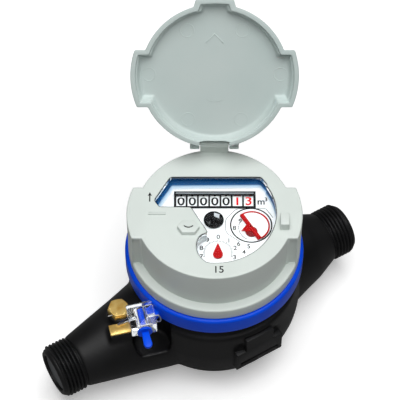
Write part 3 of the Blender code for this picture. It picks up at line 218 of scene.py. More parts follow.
def vary_colour(material, texture, dark, light, low=0.35, high=0.65):
    """Drive the base colour between two close tones."""
    nodes, links = material.node_tree.nodes, material.node_tree.links
    ramp = nodes.new("ShaderNodeValToRGB")
    ramp.color_ramp.elements[0].position = low
    ramp.color_ramp.elements[1].position = high
    ramp.color_ramp.elements[0].color = (*dark, 1.0)
    ramp.color_ramp.elements[1].color = (*light, 1.0)
    links.new(texture.outputs[0], ramp.inputs["Fac"])
    links.new(ramp.outputs["Color"], nodes["Principled BSDF"].inputs["Base Color"])


def map_span(tree, value, given=(0.0, 1.0), wanted=(0.0, 1.0)):
    """Map a socket's values from one span to another, and hold them inside it."""
    node = tree.nodes.new("ShaderNodeMapRange")
    for end, number in zip(("From Min", "From Max", "To Min", "To Max"), (*given, *wanted)):
        node.inputs[end].default_value = number
    tree.links.new(value, node.inputs["Value"])
    return node.outputs["Result"]


def vary_roughness(material, texture, low, high):
    """Drive the roughness between two values."""
    tree = material.node_tree
    value = map_span(tree, texture.outputs[0], wanted=(low, high))
    tree.links.new(value, tree.nodes["Principled BSDF"].inputs["Roughness"])


def add_grain(material, texture, depth, strength=1.0):
    """Fine relief of a given depth in metres."""
    nodes, links = material.node_tree.nodes, material.node_tree.links
    bump = nodes.new("ShaderNodeBump")
    bump.inputs["Strength"].default_value = strength
    bump.inputs["Distance"].default_value = depth
    links.new(texture.outputs[0], bump.inputs["Height"])
    links.new(bump.outputs["Normal"], nodes["Principled BSDF"].inputs["Normal"])


black_composite = new_finish("black composite", srgb(15, 15, 16), 0.46, specular=0.28)
fibre_clouds = add_texture(black_composite, 60.0, 4.0)
vary_colour(black_composite, fibre_clouds, srgb(11, 11, 12), srgb(19, 19, 20))
vary_roughness(black_composite, fibre_clouds, 0.38, 0.56)
add_grain(black_composite, add_texture(black_composite, 1500.0, 2.0), 0.00005, 0.35)

bowl_edge = [(0, 58.0), (36.8, 58.0), (37.4, 57.4), (37.4, 47.0), (38.2, 46.2), (39.8, 45.6), (40.4, 44.8)]
bowl_edge += [(40.4 + 1.1 * t / 8, 44.8 - 14.8 * t / 8) for t in range(1, 9)]
bowl_edge += [(21 + 20.5 * math.cos(math.radians(a)), 30 - 30 * math.sin(math.radians(a)))
              for a in range(5, 91, 5)] + [(0, 0)]
meter_body = turned_piece("meter_body_shell", bowl_edge, steps=160)
horn_shapes = {
    -1: (INLET_REACH, [(15.8, 64.0), (19.4, 48.5), (22.4, 37.0)]),
    1: (OUTLET_REACH, [(14.6, 59.0), (17.6, 52.0), (20.2, 43.0), (22.8, 35.0)])}
for side, (reach, stations) in horn_shapes.items():
    neck = reach - THREAD_LENGTH
    horn_edge = [(0, neck + 0.6), (12.3, neck + 0.6), (12.9, neck)]
    horn_edge += stations + [(24.2, 28), (21.8, 10), (0, 4)]
    lie = pipe_line @ Matrix.Rotation(side * math.pi / 2, 4, "Y")
    work(meter_body, turned_piece("horn", horn_edge, steps=96, place=lie), "UNION")
SEAL_TURN = math.radians(-17.5)
PLUG_PLACE = (-51.2, 2.0)
boss_at = shift(*PLUG_PLACE, 0)
BOSS_RADIUS, BOSS_DRAFT = 5.5, 0.8
boss_edge = [(0, 46.0), (BOSS_RADIUS, 46.0), (BOSS_RADIUS + BOSS_DRAFT, 32.5), (0, 32.5)]
work(meter_body, turned_piece("boss", boss_edge, steps=64, place=boss_at), "UNION")


def seal_way(u, w, z, origin=PLUG_PLACE):
    """Point at an offset along the seal's own directions, in metres."""
    x = origin[0] + u * math.cos(SEAL_TURN) - w * math.sin(SEAL_TURN)
    y = origin[1] + u * math.sin(SEAL_TURN) + w * math.cos(SEAL_TURN)
    return mm(x, y, z)


def brick(name, size, centre, material=None, turn=Matrix(), frame_turn=Matrix()):
    """A rectangular block of a size in mm about a centre in metres."""
    shape = bmesh.new()
    place = frame_turn @ Matrix.Translation(centre) @ turn @ Matrix.Diagonal((*(Vector(size) * MM), 1))
    bmesh.ops.create_cube(shape, size=1.0, matrix=place)
    return new_piece(name, shape, material)


STRIP_SIZE, STRIP_SHIFT = (11.6, 5.6, 1.2), -0.4
STRIP_FROM_PLUG = -(BOSS_RADIUS + BOSS_DRAFT / 4 + GAP + STRIP_SIZE[1] / 2)
along_seal = Matrix.Rotation(SEAL_TURN, 4, "Z")
seat_centre = seal_way(STRIP_SHIFT, STRIP_FROM_PLUG, 39.2)
strip_seat = brick("strip seat", (12.4, 6.4, 9.4), seat_centre, turn=along_seal)
work(meter_body, strip_seat, "UNION")
pocket_edge = [(0, 51), (9.0, 51), (9.0, 31.5), (8.5, 31.0), (0, 31.0)]
pocket_place = Matrix.Translation((-0.0425, -0.0135, 0))
work(meter_body, turned_piece("pocket", pocket_edge, steps=48, place=pocket_place))
for side, word in ((-1, "left"), (1, "right")):
    work(meter_body, brick(f"{word} notch", (5.0, 8.0, 5.0), mm(side * 10.2, -42.9, 37.1)))
BORE_DEPTH, DUCT_RADIUS = 22.0, 8
for reach, inner, end in ((-INLET_REACH, -68.5, (-29.0, 16.2)), (OUTLET_REACH, 55.5, (32.0, 36.0))):
    mouth, deep = abs(reach) + 2, abs(reach) - BORE_DEPTH
    lie = pipe_line @ Matrix.Rotation(math.copysign(math.pi / 2, reach), 4, "Y")
    bore_edge = [(0, mouth), (BORE_RADIUS, mouth), (BORE_RADIUS, deep), (0, deep)]
    work(meter_body, turned_piece("bore", bore_edge, steps=64, place=lie))
    run = Vector((end[0] - inner, 0, end[1] - PIPE_HEIGHT))
    lean = shift(inner, 0, PIPE_HEIGHT) @ run.to_track_quat("Z", "Y").to_matrix().to_4x4()
    duct_edge = [(0, run.length), (DUCT_RADIUS, run.length), (DUCT_RADIUS, 0), (0, 0)]
    work(meter_body, turned_piece("duct", duct_edge, steps=48, place=lean))
skin = meter_body.modifiers.new("Moulded skin", "REMESH")
skin.mode = "VOXEL"
skin.voxel_size = 0.75 * MM
skin.use_smooth_shade = True
fillets = meter_body.modifiers.new("Fillets", "SMOOTH")
fillets.factor = 0.6
fillets.iterations = 5
bake(meter_body)
meter_body.data.shade_smooth()
paint(meter_body, black_composite)

# Stepped plaque on the side of the bowl, with a slot low down. It is moulded with the
# body, and its flat face is left bare.
plaque_outline = [(-12.7, 21.5, 0.6), (12.7, 21.5, 0.6), (12.7, 34.5, 0.5), (7.5, 34.5, 0.2),
                  (7.5, 43.0, 0.5), (-7.5, 43.0, 0.5), (-7.5, 34.5, 0.2), (-12.7, 34.5, 0.5)]


def raised_outline(name, outline, low, high, material=None, place=Matrix()):
    """An outline in mm, anticlockwise, raised between two heights in mm."""
    shape = bmesh.new()
    lower = [shape.verts.new(place @ mm(x, y, low)) for x, y in outline]
    upper = [shape.verts.new(place @ mm(x, y, high)) for x, y in outline]
    count = len(outline)
    shape.faces.new(lower[::-1])
    shape.faces.new(upper)
    for i in range(count):
        n = (i + 1) % count
        shape.faces.new((lower[i], lower[n], upper[n], upper[i]))
    return new_piece(name, shape, material)


facing_front = quarter("X")
wall_plaque = raised_outline("wall_plaque", eased(plaque_outline, closed=True, steps=2), 35.5, 41.9,
                             black_composite, facing_front)
work(wall_plaque, brick("slot", (20.8, 6.0, 2.4), mm(0, -43.1, 24.8)))
ease_edges(wall_plaque, 0.25)
for piece in (meter_body, wall_plaque):
    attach(piece, "body")
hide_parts("meter_body")

# Threaded spigots
# Each horn ends in a G 3/4 pipe thread, moulded with the body. The ridges wind round a plain tube,
# run out at the shoulder and are cut off a little before the end face.
THREAD_ROOT, THREAD_DEPTH, THREAD_PITCH = 12.05, 1.1, 1.814


def open_tree(name, inputs):
    """A tree from geometry to geometry with inputs of (name, kind) and a material, and its inputs."""
    tree = bpy.data.node_groups.new(name, "GeometryNodeTree")
    tree.interface.new_socket("Geometry", in_out="OUTPUT", socket_type="NodeSocketGeometry")
    for socket, kind in (("Geometry", "Geometry"), *inputs, ("Material", "Material")):
        tree.interface.new_socket(socket, in_out="INPUT", socket_type=f"NodeSocket{kind}")
    return tree, tree.nodes.new("NodeGroupInput").outputs


def math_node(tree, operation, *operands, clamp=False):
    """One Math node's result; each operand is a socket or a number."""
    node = tree.nodes.new("ShaderNodeMath")
    node.operation = operation
    node.use_clamp = clamp
    for entry, operand in zip(node.inputs, operands):
        if isinstance(operand, (int, float)):
            entry.default_value = operand
        else:
            tree.links.new(operand, entry)
    return node.outputs[0]


def end_tree(tree, geometry, material_socket):
    """Close a tree with Realize Instances and Set Material."""
    realize = tree.nodes.new("GeometryNodeRealizeInstances")
    paint = tree.nodes.new("GeometryNodeSetMaterial")
    leave = tree.nodes.new("NodeGroupOutput")
    tree.links.new(geometry, realize.inputs[0])
    tree.links.new(realize.outputs[0], paint.inputs["Geometry"])
    tree.links.new(material_socket, paint.inputs["Material"])
    tree.links.new(paint.outputs[0], leave.inputs[0])


def thread_tree():
    """Raise helical ridges on a tube that lies along X."""
    names = ("Root radius", "Depth", "Pitch", "Start", "End")
    tree, enter = open_tree("pipe thread", [(name, "Float") for name in names])
    calc = functools.partial(math_node, tree)
    position = tree.nodes.new("GeometryNodeInputPosition")
    apart = tree.nodes.new("ShaderNodeSeparateXYZ")
    tree.links.new(position.outputs[0], apart.inputs[0])
    x, y, z = apart.outputs
    distance = calc("ABSOLUTE", x)
    z_mid = calc("SUBTRACT", z, PIPE_HEIGHT * MM)
    radius = calc("SQRT", calc("ADD", calc("MULTIPLY", y, y), calc("MULTIPLY", z_mid, z_mid)))
    turn = calc("DIVIDE", calc("ARCTAN2", z_mid, y), math.tau)
    phase = calc("FRACT", calc("ADD", calc("DIVIDE", x, enter["Pitch"]), turn))
    flank = calc("PINGPONG", calc("MULTIPLY", phase, 2.0), 1.0)
    crest = calc("SMOOTH_MIN", calc("MULTIPLY", flank, 1.35), 1.0, 0.25)
    run_in = calc("DIVIDE", calc("SUBTRACT", distance, enter["Start"]), 0.0011, clamp=True)
    run_out = calc("DIVIDE", calc("SUBTRACT", enter["End"], distance), 0.0008, clamp=True)
    ends = calc("MULTIPLY", run_in, run_out)
    height = calc("MULTIPLY", calc("MULTIPLY", crest, enter["Depth"]), ends)
    outside = calc("GREATER_THAN", radius, calc("SUBTRACT", enter["Root radius"], 0.0001))
    grow = calc("DIVIDE", calc("MULTIPLY", height, outside), radius)
    lift = tree.nodes.new("ShaderNodeCombineXYZ")
    tree.links.new(calc("MULTIPLY", y, grow), lift.inputs["Y"])
    tree.links.new(calc("MULTIPLY", z_mid, grow), lift.inputs["Z"])
    move = tree.nodes.new("GeometryNodeSetPosition")
    tree.links.new(enter["Geometry"], move.inputs["Geometry"])
    tree.links.new(lift.outputs[0], move.inputs["Offset"])
    end_tree(tree, move.outputs[0], enter["Material"])
    return tree


def run_tree(piece, tree, values, sharp=30.0):
    """Give a tree its named inputs on a piece and bake the result."""
    nodes = piece.modifiers.new(tree.name, "NODES")
    nodes.node_group = tree
    for item in tree.interface.items_tree:
        if item.in_out == "INPUT" and item.name in values:
            nodes[item.identifier] = values[item.name]
    return bake(piece, sharp)


ridges = thread_tree()
for side, reach, word in ((-1, INLET_REACH, "inlet"), (1, OUTLET_REACH, "outlet")):
    root = reach - THREAD_LENGTH
    tube = [(BORE_RADIUS, root - 1.0), (THREAD_ROOT, root - 1.0)]
    tube += [(THREAD_ROOT, root - 1.0 + (THREAD_LENGTH - 0.2) * k / 72) for k in range(1, 73)]
    tube += [(THREAD_ROOT - 0.9, reach - 0.1), (THREAD_ROOT - 1.2, reach), (9.75, reach),
             (9.4, reach - 0.15), (BORE_RADIUS, reach - 0.5)]
    lie = pipe_line @ Matrix.Rotation(side * math.pi / 2, 4, "Y")
    spigot = turned_piece(f"{word}_spigot", tube, black_composite, steps=96, place=lie)
    run_tree(spigot, ridges, {
        "Root radius": THREAD_ROOT * MM, "Depth": THREAD_DEPTH * MM, "Pitch": THREAD_PITCH * MM,
        "Start": (root + 0.4) * MM, "End": (reach - 1.5) * MM, "Material": black_composite}, sharp=50)
    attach(spigot, "body")

# Inlet strainer
# A grey nylon strainer pressed into the inlet stops grit. Its fine screen is a pattern of small
# cells in the finish of the CAD part.
strainer_nylon = new_finish("strainer nylon", srgb(74, 77, 81), 0.55)
screen_cells = add_texture(strainer_nylon, 900.0, kind="ShaderNodeTexVoronoi")
vary_colour(strainer_nylon, screen_cells, srgb(40, 42, 46), srgb(92, 95, 98), 0.1, 0.5)
add_grain(strainer_nylon, screen_cells, 0.0003, 0.6)
paint(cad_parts["inlet_strainer"], strainer_nylon)

# Measuring chamber
# Inside the bowl, the water spins a light plastic impeller in a slotted basket. The mouldings are
# natural polypropylene, and the impeller carries a black ring magnet under the pressure plate.
natural_plastic = new_finish("natural plastic", srgb(222, 219, 208), 0.45)
flow_marks = add_texture(natural_plastic, 90.0)
vary_colour(natural_plastic, flow_marks, srgb(214, 211, 198), srgb(228, 225, 216))
add_grain(natural_plastic, add_texture(natural_plastic, 1200.0), 0.00003, 0.3)
white_plastic = new_finish("white plastic", srgb(240, 241, 241), 0.42)
white_clouds = add_texture(white_plastic, 120.0)
vary_colour(white_plastic, white_clouds, srgb(238, 239, 239), srgb(243, 244, 244))
add_grain(white_plastic, add_texture(white_plastic, 1500.0), 0.00002, 0.25)
black_plastic = new_finish("black plastic", srgb(22, 22, 23), 0.32)
black_clouds = add_texture(black_plastic, 150.0)
vary_roughness(black_plastic, black_clouds, 0.25, 0.4)
magnet_grey_and_dim_reflection = new_finish("magnet grey and dim star reflection", srgb(62, 62, 64), 0.5, 0.3)
vary_roughness(magnet_grey_and_dim_reflection, add_texture(magnet_grey_and_dim_reflection, 800.0), 0.35, 0.65)
drawn_steel = new_finish("drawn steel", srgb(200, 200, 197), 0.3, 1.0)
vary_roughness(drawn_steel, add_texture(drawn_steel, 400.0, 3.0, (1, 1, 12)), 0.22, 0.42)
black_rubber = new_finish("black rubber", srgb(24, 24, 24), 0.8)
add_grain(black_rubber, add_texture(black_rubber, 900.0), 0.00004, 0.4)
for node, finish_used in (
        ("jet_basket", natural_plastic), ("basket_lid", natural_plastic), ("gear_case", natural_plastic),
        ("impeller", white_plastic), ("impeller_pivot", drawn_steel), ("drive_magnet", magnet_grey_and_dim_reflection),
        ("follower_magnet", magnet_grey_and_dim_reflection), ("pressure_plate", black_plastic), ("body_gasket", black_rubber),
        ("register_cup", black_plastic), ("drum_axle", drawn_steel), ("hinge_pin", drawn_steel)):
    paint(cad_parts[node], finish_used)

# Clamp ring
# A bright blue moulded ring screws over the neck and holds the register down. It is turned smooth,
# with a rounded upper edge and a small drilled lug that the seal sits on.
RING_BOTTOM, RING_TOP, RING_RADIUS = 55.0, 64.5, 42.0
ring_blue = new_finish("ring blue", srgb(2, 80, 235), 0.3, specular=0.16)
ring_clouds = add_texture(ring_blue, 70.0)
vary_colour(ring_blue, ring_clouds, srgb(0, 76, 230), srgb(4, 84, 240))
add_grain(ring_blue, add_texture(ring_blue, 1300.0), 0.00003, 0.2)
ring_section = eased([
    (34.3, RING_TOP, 0.3), (RING_RADIUS, RING_TOP, 1.4), (RING_RADIUS, RING_BOTTOM, 0.7),
    (37.7, RING_BOTTOM, 0.2), (37.7, 60.7, 0.2), (34.3, 60.7, 0.2)], closed=True)
clamp_ring = turned_piece("clamp_ring_finished", ring_section, ring_blue, steps=192)
SEAL_PLACE = (-48.7, -16.4)
LUG_HOLE, LUG_HEIGHT = 45.3, 57.8
lug_way = Matrix.Rotation(math.atan2(SEAL_PLACE[1], SEAL_PLACE[0]), 4, "Z")
lug_centre = mm(LUG_HOLE - 1.0, 0, LUG_HEIGHT)
ring_lug = brick("ring_lug", (7.6, 5.0, 3.8), lug_centre, ring_blue, frame_turn=lug_way)
hole_way = lug_way @ shift(LUG_HOLE, 0, LUG_HEIGHT) @ quarter("X")
work(ring_lug, turned_piece("lug hole", [(0, 5), (0.8, 5), (0.8, -5), (0, -5)], steps=24, place=hole_way))
ease_edges(ring_lug, 0.3)
for piece in (clamp_ring, ring_lug):
    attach(piece, "body")
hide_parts("clamp_ring")

# Dial
# The register's dial is a white plate under the window, turned on the body as it was fitted. Its
# scales are printed in black; the unit and the figures are plain ones.
REGISTER_TURN = math.radians(-31.0)
register_way = Matrix.Rotation(REGISTER_TURN, 4, "Z")
DIAL_TOP, FACE = 84.5, 92.0
STAR_PLACE, DROP_PLACE, SWEEP_PLACE = (-0.35, 1.0), (1.5, -17.4), (16.9, -2.3)
COUNTER_PLACE = (0.2, 11.6)
INK_THICKNESS, INK_HEIGHT = 0.03, 0.005


def arc(centre, radius, start, end, count):
    """Points along an arc, from one angle to another in degrees."""
    return [(centre[0] + radius * math.cos(math.radians(start + (end - start) * i / count)),
             centre[1] + radius * math.sin(math.radians(start + (end - start) * i / count)))
            for i in range(count + 1)]


def stroked(points, width):
    """The outline of a line of a width, drawn through points."""
    left, right = [], []
    for i, point in enumerate(points):
        ahead = Vector(points[min(i + 1, len(points) - 1)]) - Vector(points[max(i - 1, 0)])
        side = Vector((-ahead.y, ahead.x)).normalized() * width / 2
        left.append(tuple(Vector(point) + side))
        right.append(tuple(Vector(point) - side))
    return left + right[::-1]


def word_mesh(text, size, weight, thickness=INK_THICKNESS):
    """A word as a thin mesh about its middle, with its strokes thickened by a weight in mm."""
    letters = bpy.data.curves.new(text, "FONT")
    letters.body = text
    letters.size = size * MM
    letters.align_x = "CENTER"
    letters.align_y = "CENTER"
    letters.extrude = thickness * MM / 2
    letters.offset = weight * MM
    return curve_mesh(letters)


def curve_mesh(curve):
    """The mesh of a curve or a word."""
    guide = bpy.data.objects.new("guide", curve)
    bpy.context.scene.collection.objects.link(guide)
    mesh = bpy.data.meshes.new_from_object(guide.evaluated_get(bpy.context.evaluated_depsgraph_get()))
    bpy.data.objects.remove(guide)
    return mesh


def flat_curve(name, loops, thickness):
    """A filled flat curve through closed loops in mm, of a thickness in mm."""
    curve = bpy.data.curves.new(name, "CURVE")
    curve.dimensions = "2D"
    curve.fill_mode = "BOTH"
    curve.extrude = thickness * MM / 2
    for loop in loops:
        spline = curve.splines.new("POLY")
        spline.points.add(len(loop) - 1)
        spline.use_cyclic_u = True
        for point, (x, y) in zip(spline.points, loop):
            point.co = (x * MM, y * MM, 0, 1)
    return curve


def weld(shape):
    """Join the points of a bmesh that lie on each other."""
    bmesh.ops.remove_doubles(shape, verts=shape.verts, dist=1e-7)


def flat_print(name, material, loops, words, height, place):
    """Thin ink: filled loops and words of (text, size, x, y, weight) in mm, at a height on a face."""
    shape = bmesh.new()
    jobs = [(curve_mesh(flat_curve(name, loops, INK_THICKNESS)), (0, 0))] if loops else []
    jobs += [(word_mesh(text, size, weight), (x, y)) for text, size, x, y, weight in words]
    for flat, (x, y) in jobs:
        flat.transform(place @ shift(x, y, height + INK_THICKNESS / 2))
        shape.from_mesh(flat)
        bpy.data.meshes.remove(flat)
    weld(shape)
    return new_piece(name, shape, material)


def tick_tree():
    """Bars set out along an arc, as the marks of a printed scale."""
    names = ("Radius", "Start", "Sweep", "Length", "Width", "Thickness")
    inputs = [(name, "Float") for name in names] + [("Count", "Int"), ("Centre", "Vector"), ("Turn", "Float")]
    tree, enter = open_tree("scale marks", inputs)
    calc = functools.partial(math_node, tree)
    row = tree.nodes.new("GeometryNodeMeshLine")
    tree.links.new(enter["Count"], row.inputs["Count"])
    row.inputs["Offset"].default_value = (0, 0, 0)
    index = tree.nodes.new("GeometryNodeInputIndex")
    share = calc("DIVIDE", index.outputs[0], calc("SUBTRACT", enter["Count"], 1.0))
    angle = calc("ADD", enter["Start"], calc("MULTIPLY", share, enter["Sweep"]))
    spot = tree.nodes.new("ShaderNodeCombineXYZ")
    tree.links.new(calc("MULTIPLY", calc("COSINE", angle), enter["Radius"]), spot.inputs["X"])
    tree.links.new(calc("MULTIPLY", calc("SINE", angle), enter["Radius"]), spot.inputs["Y"])
    place = tree.nodes.new("GeometryNodeSetPosition")
    tree.links.new(row.outputs[0], place.inputs["Geometry"])
    tree.links.new(spot.outputs[0], place.inputs["Position"])
    bar_size = tree.nodes.new("ShaderNodeCombineXYZ")
    for name, axis in (("Length", "X"), ("Width", "Y"), ("Thickness", "Z")):
        tree.links.new(enter[name], bar_size.inputs[axis])
    bar = tree.nodes.new("GeometryNodeMeshCube")
    tree.links.new(bar_size.outputs[0], bar.inputs["Size"])
    facing = tree.nodes.new("ShaderNodeCombineXYZ")
    tree.links.new(angle, facing.inputs["Z"])
    copies = tree.nodes.new("GeometryNodeInstanceOnPoints")
    tree.links.new(place.outputs[0], copies.inputs["Points"])
    tree.links.new(bar.outputs["Mesh"], copies.inputs["Instance"])
    tree.links.new(facing.outputs[0], copies.inputs["Rotation"])
    whole_turn = tree.nodes.new("ShaderNodeCombineXYZ")
    tree.links.new(enter["Turn"], whole_turn.inputs["Z"])
    moved = tree.nodes.new("GeometryNodeTransform")
    tree.links.new(copies.outputs[0], moved.inputs["Geometry"])
    tree.links.new(enter["Centre"], moved.inputs["Translation"])
    spin = tree.nodes.new("GeometryNodeTransform")
    tree.links.new(moved.outputs[0], spin.inputs["Geometry"])
    tree.links.new(whole_turn.outputs[0], spin.inputs["Rotation"])
    end_tree(tree, spin.outputs[0], enter["Material"])
    return tree


marks = tick_tree()


def scale_marks(name, material, centre, radius, start, sweep, count, length, width):
    """A printed scale on the dial, from the marks' tree."""
    piece = new_piece(name, bmesh.new())
    run_tree(piece, marks, {
        "Radius": radius * MM, "Start": math.radians(start), "Sweep": math.radians(sweep),
        "Length": length * MM, "Width": width * MM, "Thickness": 0.04 * MM, "Count": count,
        "Centre": mm(*centre, DIAL_TOP + 0.03), "Turn": REGISTER_TURN, "Material": material})
    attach(piece, "register")


dial_white = new_finish("dial white", srgb(246, 247, 248), 0.5)
vary_colour(dial_white, add_texture(dial_white, 80.0), srgb(245, 246, 247), srgb(248, 249, 250))
dial_ink = new_finish("dial ink", srgb(20, 20, 22), 0.55, specular=0.1)
vary_roughness(dial_ink, add_texture(dial_ink, 1000.0), 0.45, 0.65)
dial_edge = eased([(0, DIAL_TOP), (32.1, DIAL_TOP, 0.2), (32.1, DIAL_TOP - 1.0, 0.2), (0, DIAL_TOP - 1.0)])
dial_plate = turned_piece("dial_plate_finished", dial_edge, dial_white, steps=128)
slot_cut = brick("counter slot", (37.2, 8.6, 4.0), mm(*COUNTER_PLACE, DIAL_TOP), frame_turn=register_way)
work(dial_plate, slot_cut)
for spot in (STAR_PLACE, DROP_PLACE, SWEEP_PLACE):
    stem_way = register_way @ shift(*spot, DIAL_TOP)
    work(dial_plate, turned_piece("stem hole", [(0, 2), (1, 2), (1, -2), (0, -2)], steps=24, place=stem_way))
bake(dial_plate, sharp=30)
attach(dial_plate, "register")
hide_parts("dial_plate")
scale_marks("drop_scale_marks", dial_ink, DROP_PLACE, 6.3, -18, 216, 37, 0.75, 0.22)
scale_marks("drop_scale_tens", dial_ink, DROP_PLACE, 6.45, -18, 216, 7, 1.1, 0.26)
# The figures, the right scale and the counter's mask are drawn this much nearer the viewer than
# their own places, where the photo shows them.
PRINT_SHIFT = 0.28
SMALL_SCALE = (18.4, -3.4 - PRINT_SHIFT)
scale_marks("sweep_scale_marks", dial_ink, SMALL_SCALE, 7.6, 160, 76, 11, 0.55, 0.12)
FIGURE_SIZE, FIGURE_DROP = 3.3, 0.08
FULL_WEIGHT, LIGHT_WEIGHT = 0.065, 0.03
dial_words = []
for word, x, y in (
        ("0", 1.7, -8.5), ("1", 6.5, -10.5), ("2", 9.3, -14.6), ("3", 9.0, -19.6), ("9", -3.2, -10.2),
        ("8", -6.0, -14.6), ("7", -6.0, -19.2), ("9", 11.8, 0.3), ("8", 9.1, -3.6),
        ("6", 10.9, -12.3), ("5", 15.5, -13.7), ("4", 13.3, -16.8)):
    weight = LIGHT_WEIGHT if word == "4" else FULL_WEIGHT
    dial_words.append((word, FIGURE_SIZE, x, y - PRINT_SHIFT - FIGURE_DROP, weight))
dial_words += [("m", 4.8, 21.6, 11.1 - PRINT_SHIFT, 0.09), ("3", 2.9, 23.9, 12.4 - PRINT_SHIFT, 0.07)]
ring_loops = [arc((16.8, -2.0 - PRINT_SHIFT), reach, 0, 354, 59) for reach in (9.75, 9.1)]
PRINT_HEIGHT = DIAL_TOP + INK_HEIGHT
dial_figures = flat_print("dial_figures", dial_ink, ring_loops, dial_words, PRINT_HEIGHT, register_way)
frame_line = eased([(26.9, 1.9), (23.7, 7.0, 1.2), (10.2, 7.0, 4.0), (5.1, 1.1, 5.0), (4.9, -6.3, 5.0),
                    (11.4, -11.3)], steps=8)
small_scale_line = arc(SMALL_SCALE, 7.3, 156, 240, 20)
line_loops = [stroked(frame_line, 0.22), stroked(small_scale_line, 0.2)]
dial_lines = flat_print("dial_lines", dial_ink, line_loops, (), PRINT_HEIGHT, register_way)
for piece in (dial_figures, dial_lines):
    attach(piece, "register")

# Counter
# Seven white number drums turn on one axle under a black mask. Five carry black figures and the
# last two red ones, hot-foiled on the rims.
DRUM_RADIUS, DRUM_WIDTH, DRUM_PITCH = 8.4, 4.7, 5.21
DRUM_AXIS = DIAL_TOP - 0.1 - DRUM_RADIUS
DRUM_FIGURE_SIZE, DRUM_FIGURE_WEIGHT, DRUM_INK = 6.2, 0.1, 0.04
DRUM_FIGURE_DROP, DRUM_FIGURE_STRETCH, SLICE = 0.25, 1.15, 0.5
figure_black = new_finish("figure black", srgb(18, 18, 20), 0.4, specular=0.1)
figure_red = new_finish("figure red", srgb(222, 24, 30), 0.4, specular=0.1)
vary_roughness(figure_black, add_texture(figure_black, 900.0), 0.3, 0.5)
vary_roughness(figure_red, add_texture(figure_red, 900.0), 0.3, 0.5)


def wrapped_figures(name, material, shown, middle, nudge):
    """Ten figures wrapped round a drum, with one of them on top."""
    shape = bmesh.new()
    for figure in range(10):
        flat = word_mesh(str(figure), DRUM_FIGURE_SIZE, DRUM_FIGURE_WEIGHT, DRUM_INK)
        sliced = bmesh.new()
        sliced.from_mesh(flat)
        for row in range(-6, 7):
            parts = sliced.verts[:] + sliced.edges[:] + sliced.faces[:]
            bmesh.ops.bisect_plane(sliced, geom=parts, plane_co=(0, row * SLICE * MM, 0), plane_no=(0, 1, 0))
        sliced.to_mesh(flat)
        sliced.free()
        turn = math.tau * (figure - shown) / 10 + nudge / DRUM_RADIUS
        for vert in flat.vertices:
            angle = turn + (vert.co.y - (DRUM_FIGURE_DROP + PRINT_SHIFT) * MM) / (DRUM_RADIUS * MM)
            reach = (DRUM_RADIUS + 0.02) * MM + vert.co.z + 0.02 * MM
            vert.co = (vert.co.x * DRUM_FIGURE_STRETCH + middle * MM,
                       COUNTER_PLACE[1] * MM + reach * math.sin(angle),
                       DRUM_AXIS * MM + reach * math.cos(angle))
        flat.transform(register_way)
        shape.from_mesh(flat)
        bpy.data.meshes.remove(flat)
    weld(shape)
    return new_piece(name, shape, material)


half = DRUM_WIDTH / 2
drum_section = [(1.15, half), (8.25, half), (DRUM_RADIUS, half - 0.15), (DRUM_RADIUS, 0.15 - half),
                (8.25, -half), (6.9, -half), (6.9, half - 1.2), (2.4, half - 1.2), (2.4, -half),
                (1.15, -half)]
# Each drum's upper figure, and how far its rim has moved on from it, in mm.
READING = ((0, 0),) * 5 + ((1, 0.1), (3, 0.15))
for i, (shown, nudge) in enumerate(READING, start=1):
    middle = COUNTER_PLACE[0] + (i - 4) * DRUM_PITCH
    drum_way = register_way @ shift(middle, COUNTER_PLACE[1], DRUM_AXIS)
    drum = turned_piece(f"number_drum_{i}", drum_section, white_plastic, steps=80,
                        place=drum_way @ quarter("Y"))
    ink = figure_black if i < 6 else figure_red
    figures = wrapped_figures(f"drum_figures_{i}", ink, shown, middle, nudge)
    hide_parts(f"digit_drum_{i}")
    for piece in (drum, figures):
        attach(piece, f"drum_{i}")

mask_and_gap_shade_black = new_finish("mask black", srgb(20, 21, 23), 0.45, specular=0.15)
vary_roughness(mask_and_gap_shade_black, add_texture(mask_and_gap_shade_black, 700.0), 0.4, 0.55)


def framed_plate(name, loops, low, high, material, place, bevel=0.0):
    """A flat plate with holes, from an outline and its inner loops, anywhere in its own plane."""
    curve = flat_curve(name, loops, high - low - 2 * bevel)
    curve.bevel_depth = bevel * MM
    curve.bevel_resolution = 1
    curve.offset = -bevel * MM
    flat = curve_mesh(curve)
    flat.transform(place @ Matrix.Translation((0, 0, (low + high) / 2 * MM)))
    shape = bmesh.new()
    shape.from_mesh(flat)
    bpy.data.meshes.remove(flat)
    weld(shape)
    return new_piece(name, shape, material)


MASK_FOOT, MASK_TOP = 84.8, 85.3
counter_way = register_way @ shift(COUNTER_PLACE[0], COUNTER_PLACE[1] - PRINT_SHIFT, 0)
mask_frame = [(-18.9, -4.3), (18.9, -4.3), (18.9, 5.0), (-18.9, 5.0)]
cells = []
for i in range(7):
    middle = (i - 3) * DRUM_PITCH
    cells.append([(middle - 2.2, -3.4), (middle + 2.2, -3.4), (middle + 2.2, 2.85), (middle - 2.2, 2.85)])
counter_mask = framed_plate("counter_mask_finished", [mask_frame, *cells], MASK_FOOT, MASK_TOP,
                            mask_and_gap_shade_black, counter_way, 0.06)
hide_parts("counter_mask")
mask_grey = new_finish("mask grey", srgb(128, 132, 136), 0.5)
vary_roughness(mask_grey, add_texture(mask_grey, 700.0), 0.4, 0.6)
grey_line = [(-18.0, 3.55), (18.0, 3.55), (18.0, 4.3), (-18.0, 4.3)]
mask_line = flat_print("mask_line", mask_grey, [grey_line], (), MASK_TOP + INK_HEIGHT, counter_way)
for piece in (counter_mask, mask_line):
    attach(piece, "register")

# Pointers
# A black star under a dark rim shows the smallest flow, a red drop points at the small scale, and a
# red carrier holds a bright half disc for a reading head. All are pressed on thin stems.
star_black = new_finish("star black", srgb(20, 21, 23), 0.14, specular=0.15)
vary_roughness(star_black, add_texture(star_black, 500.0), 0.1, 0.2)
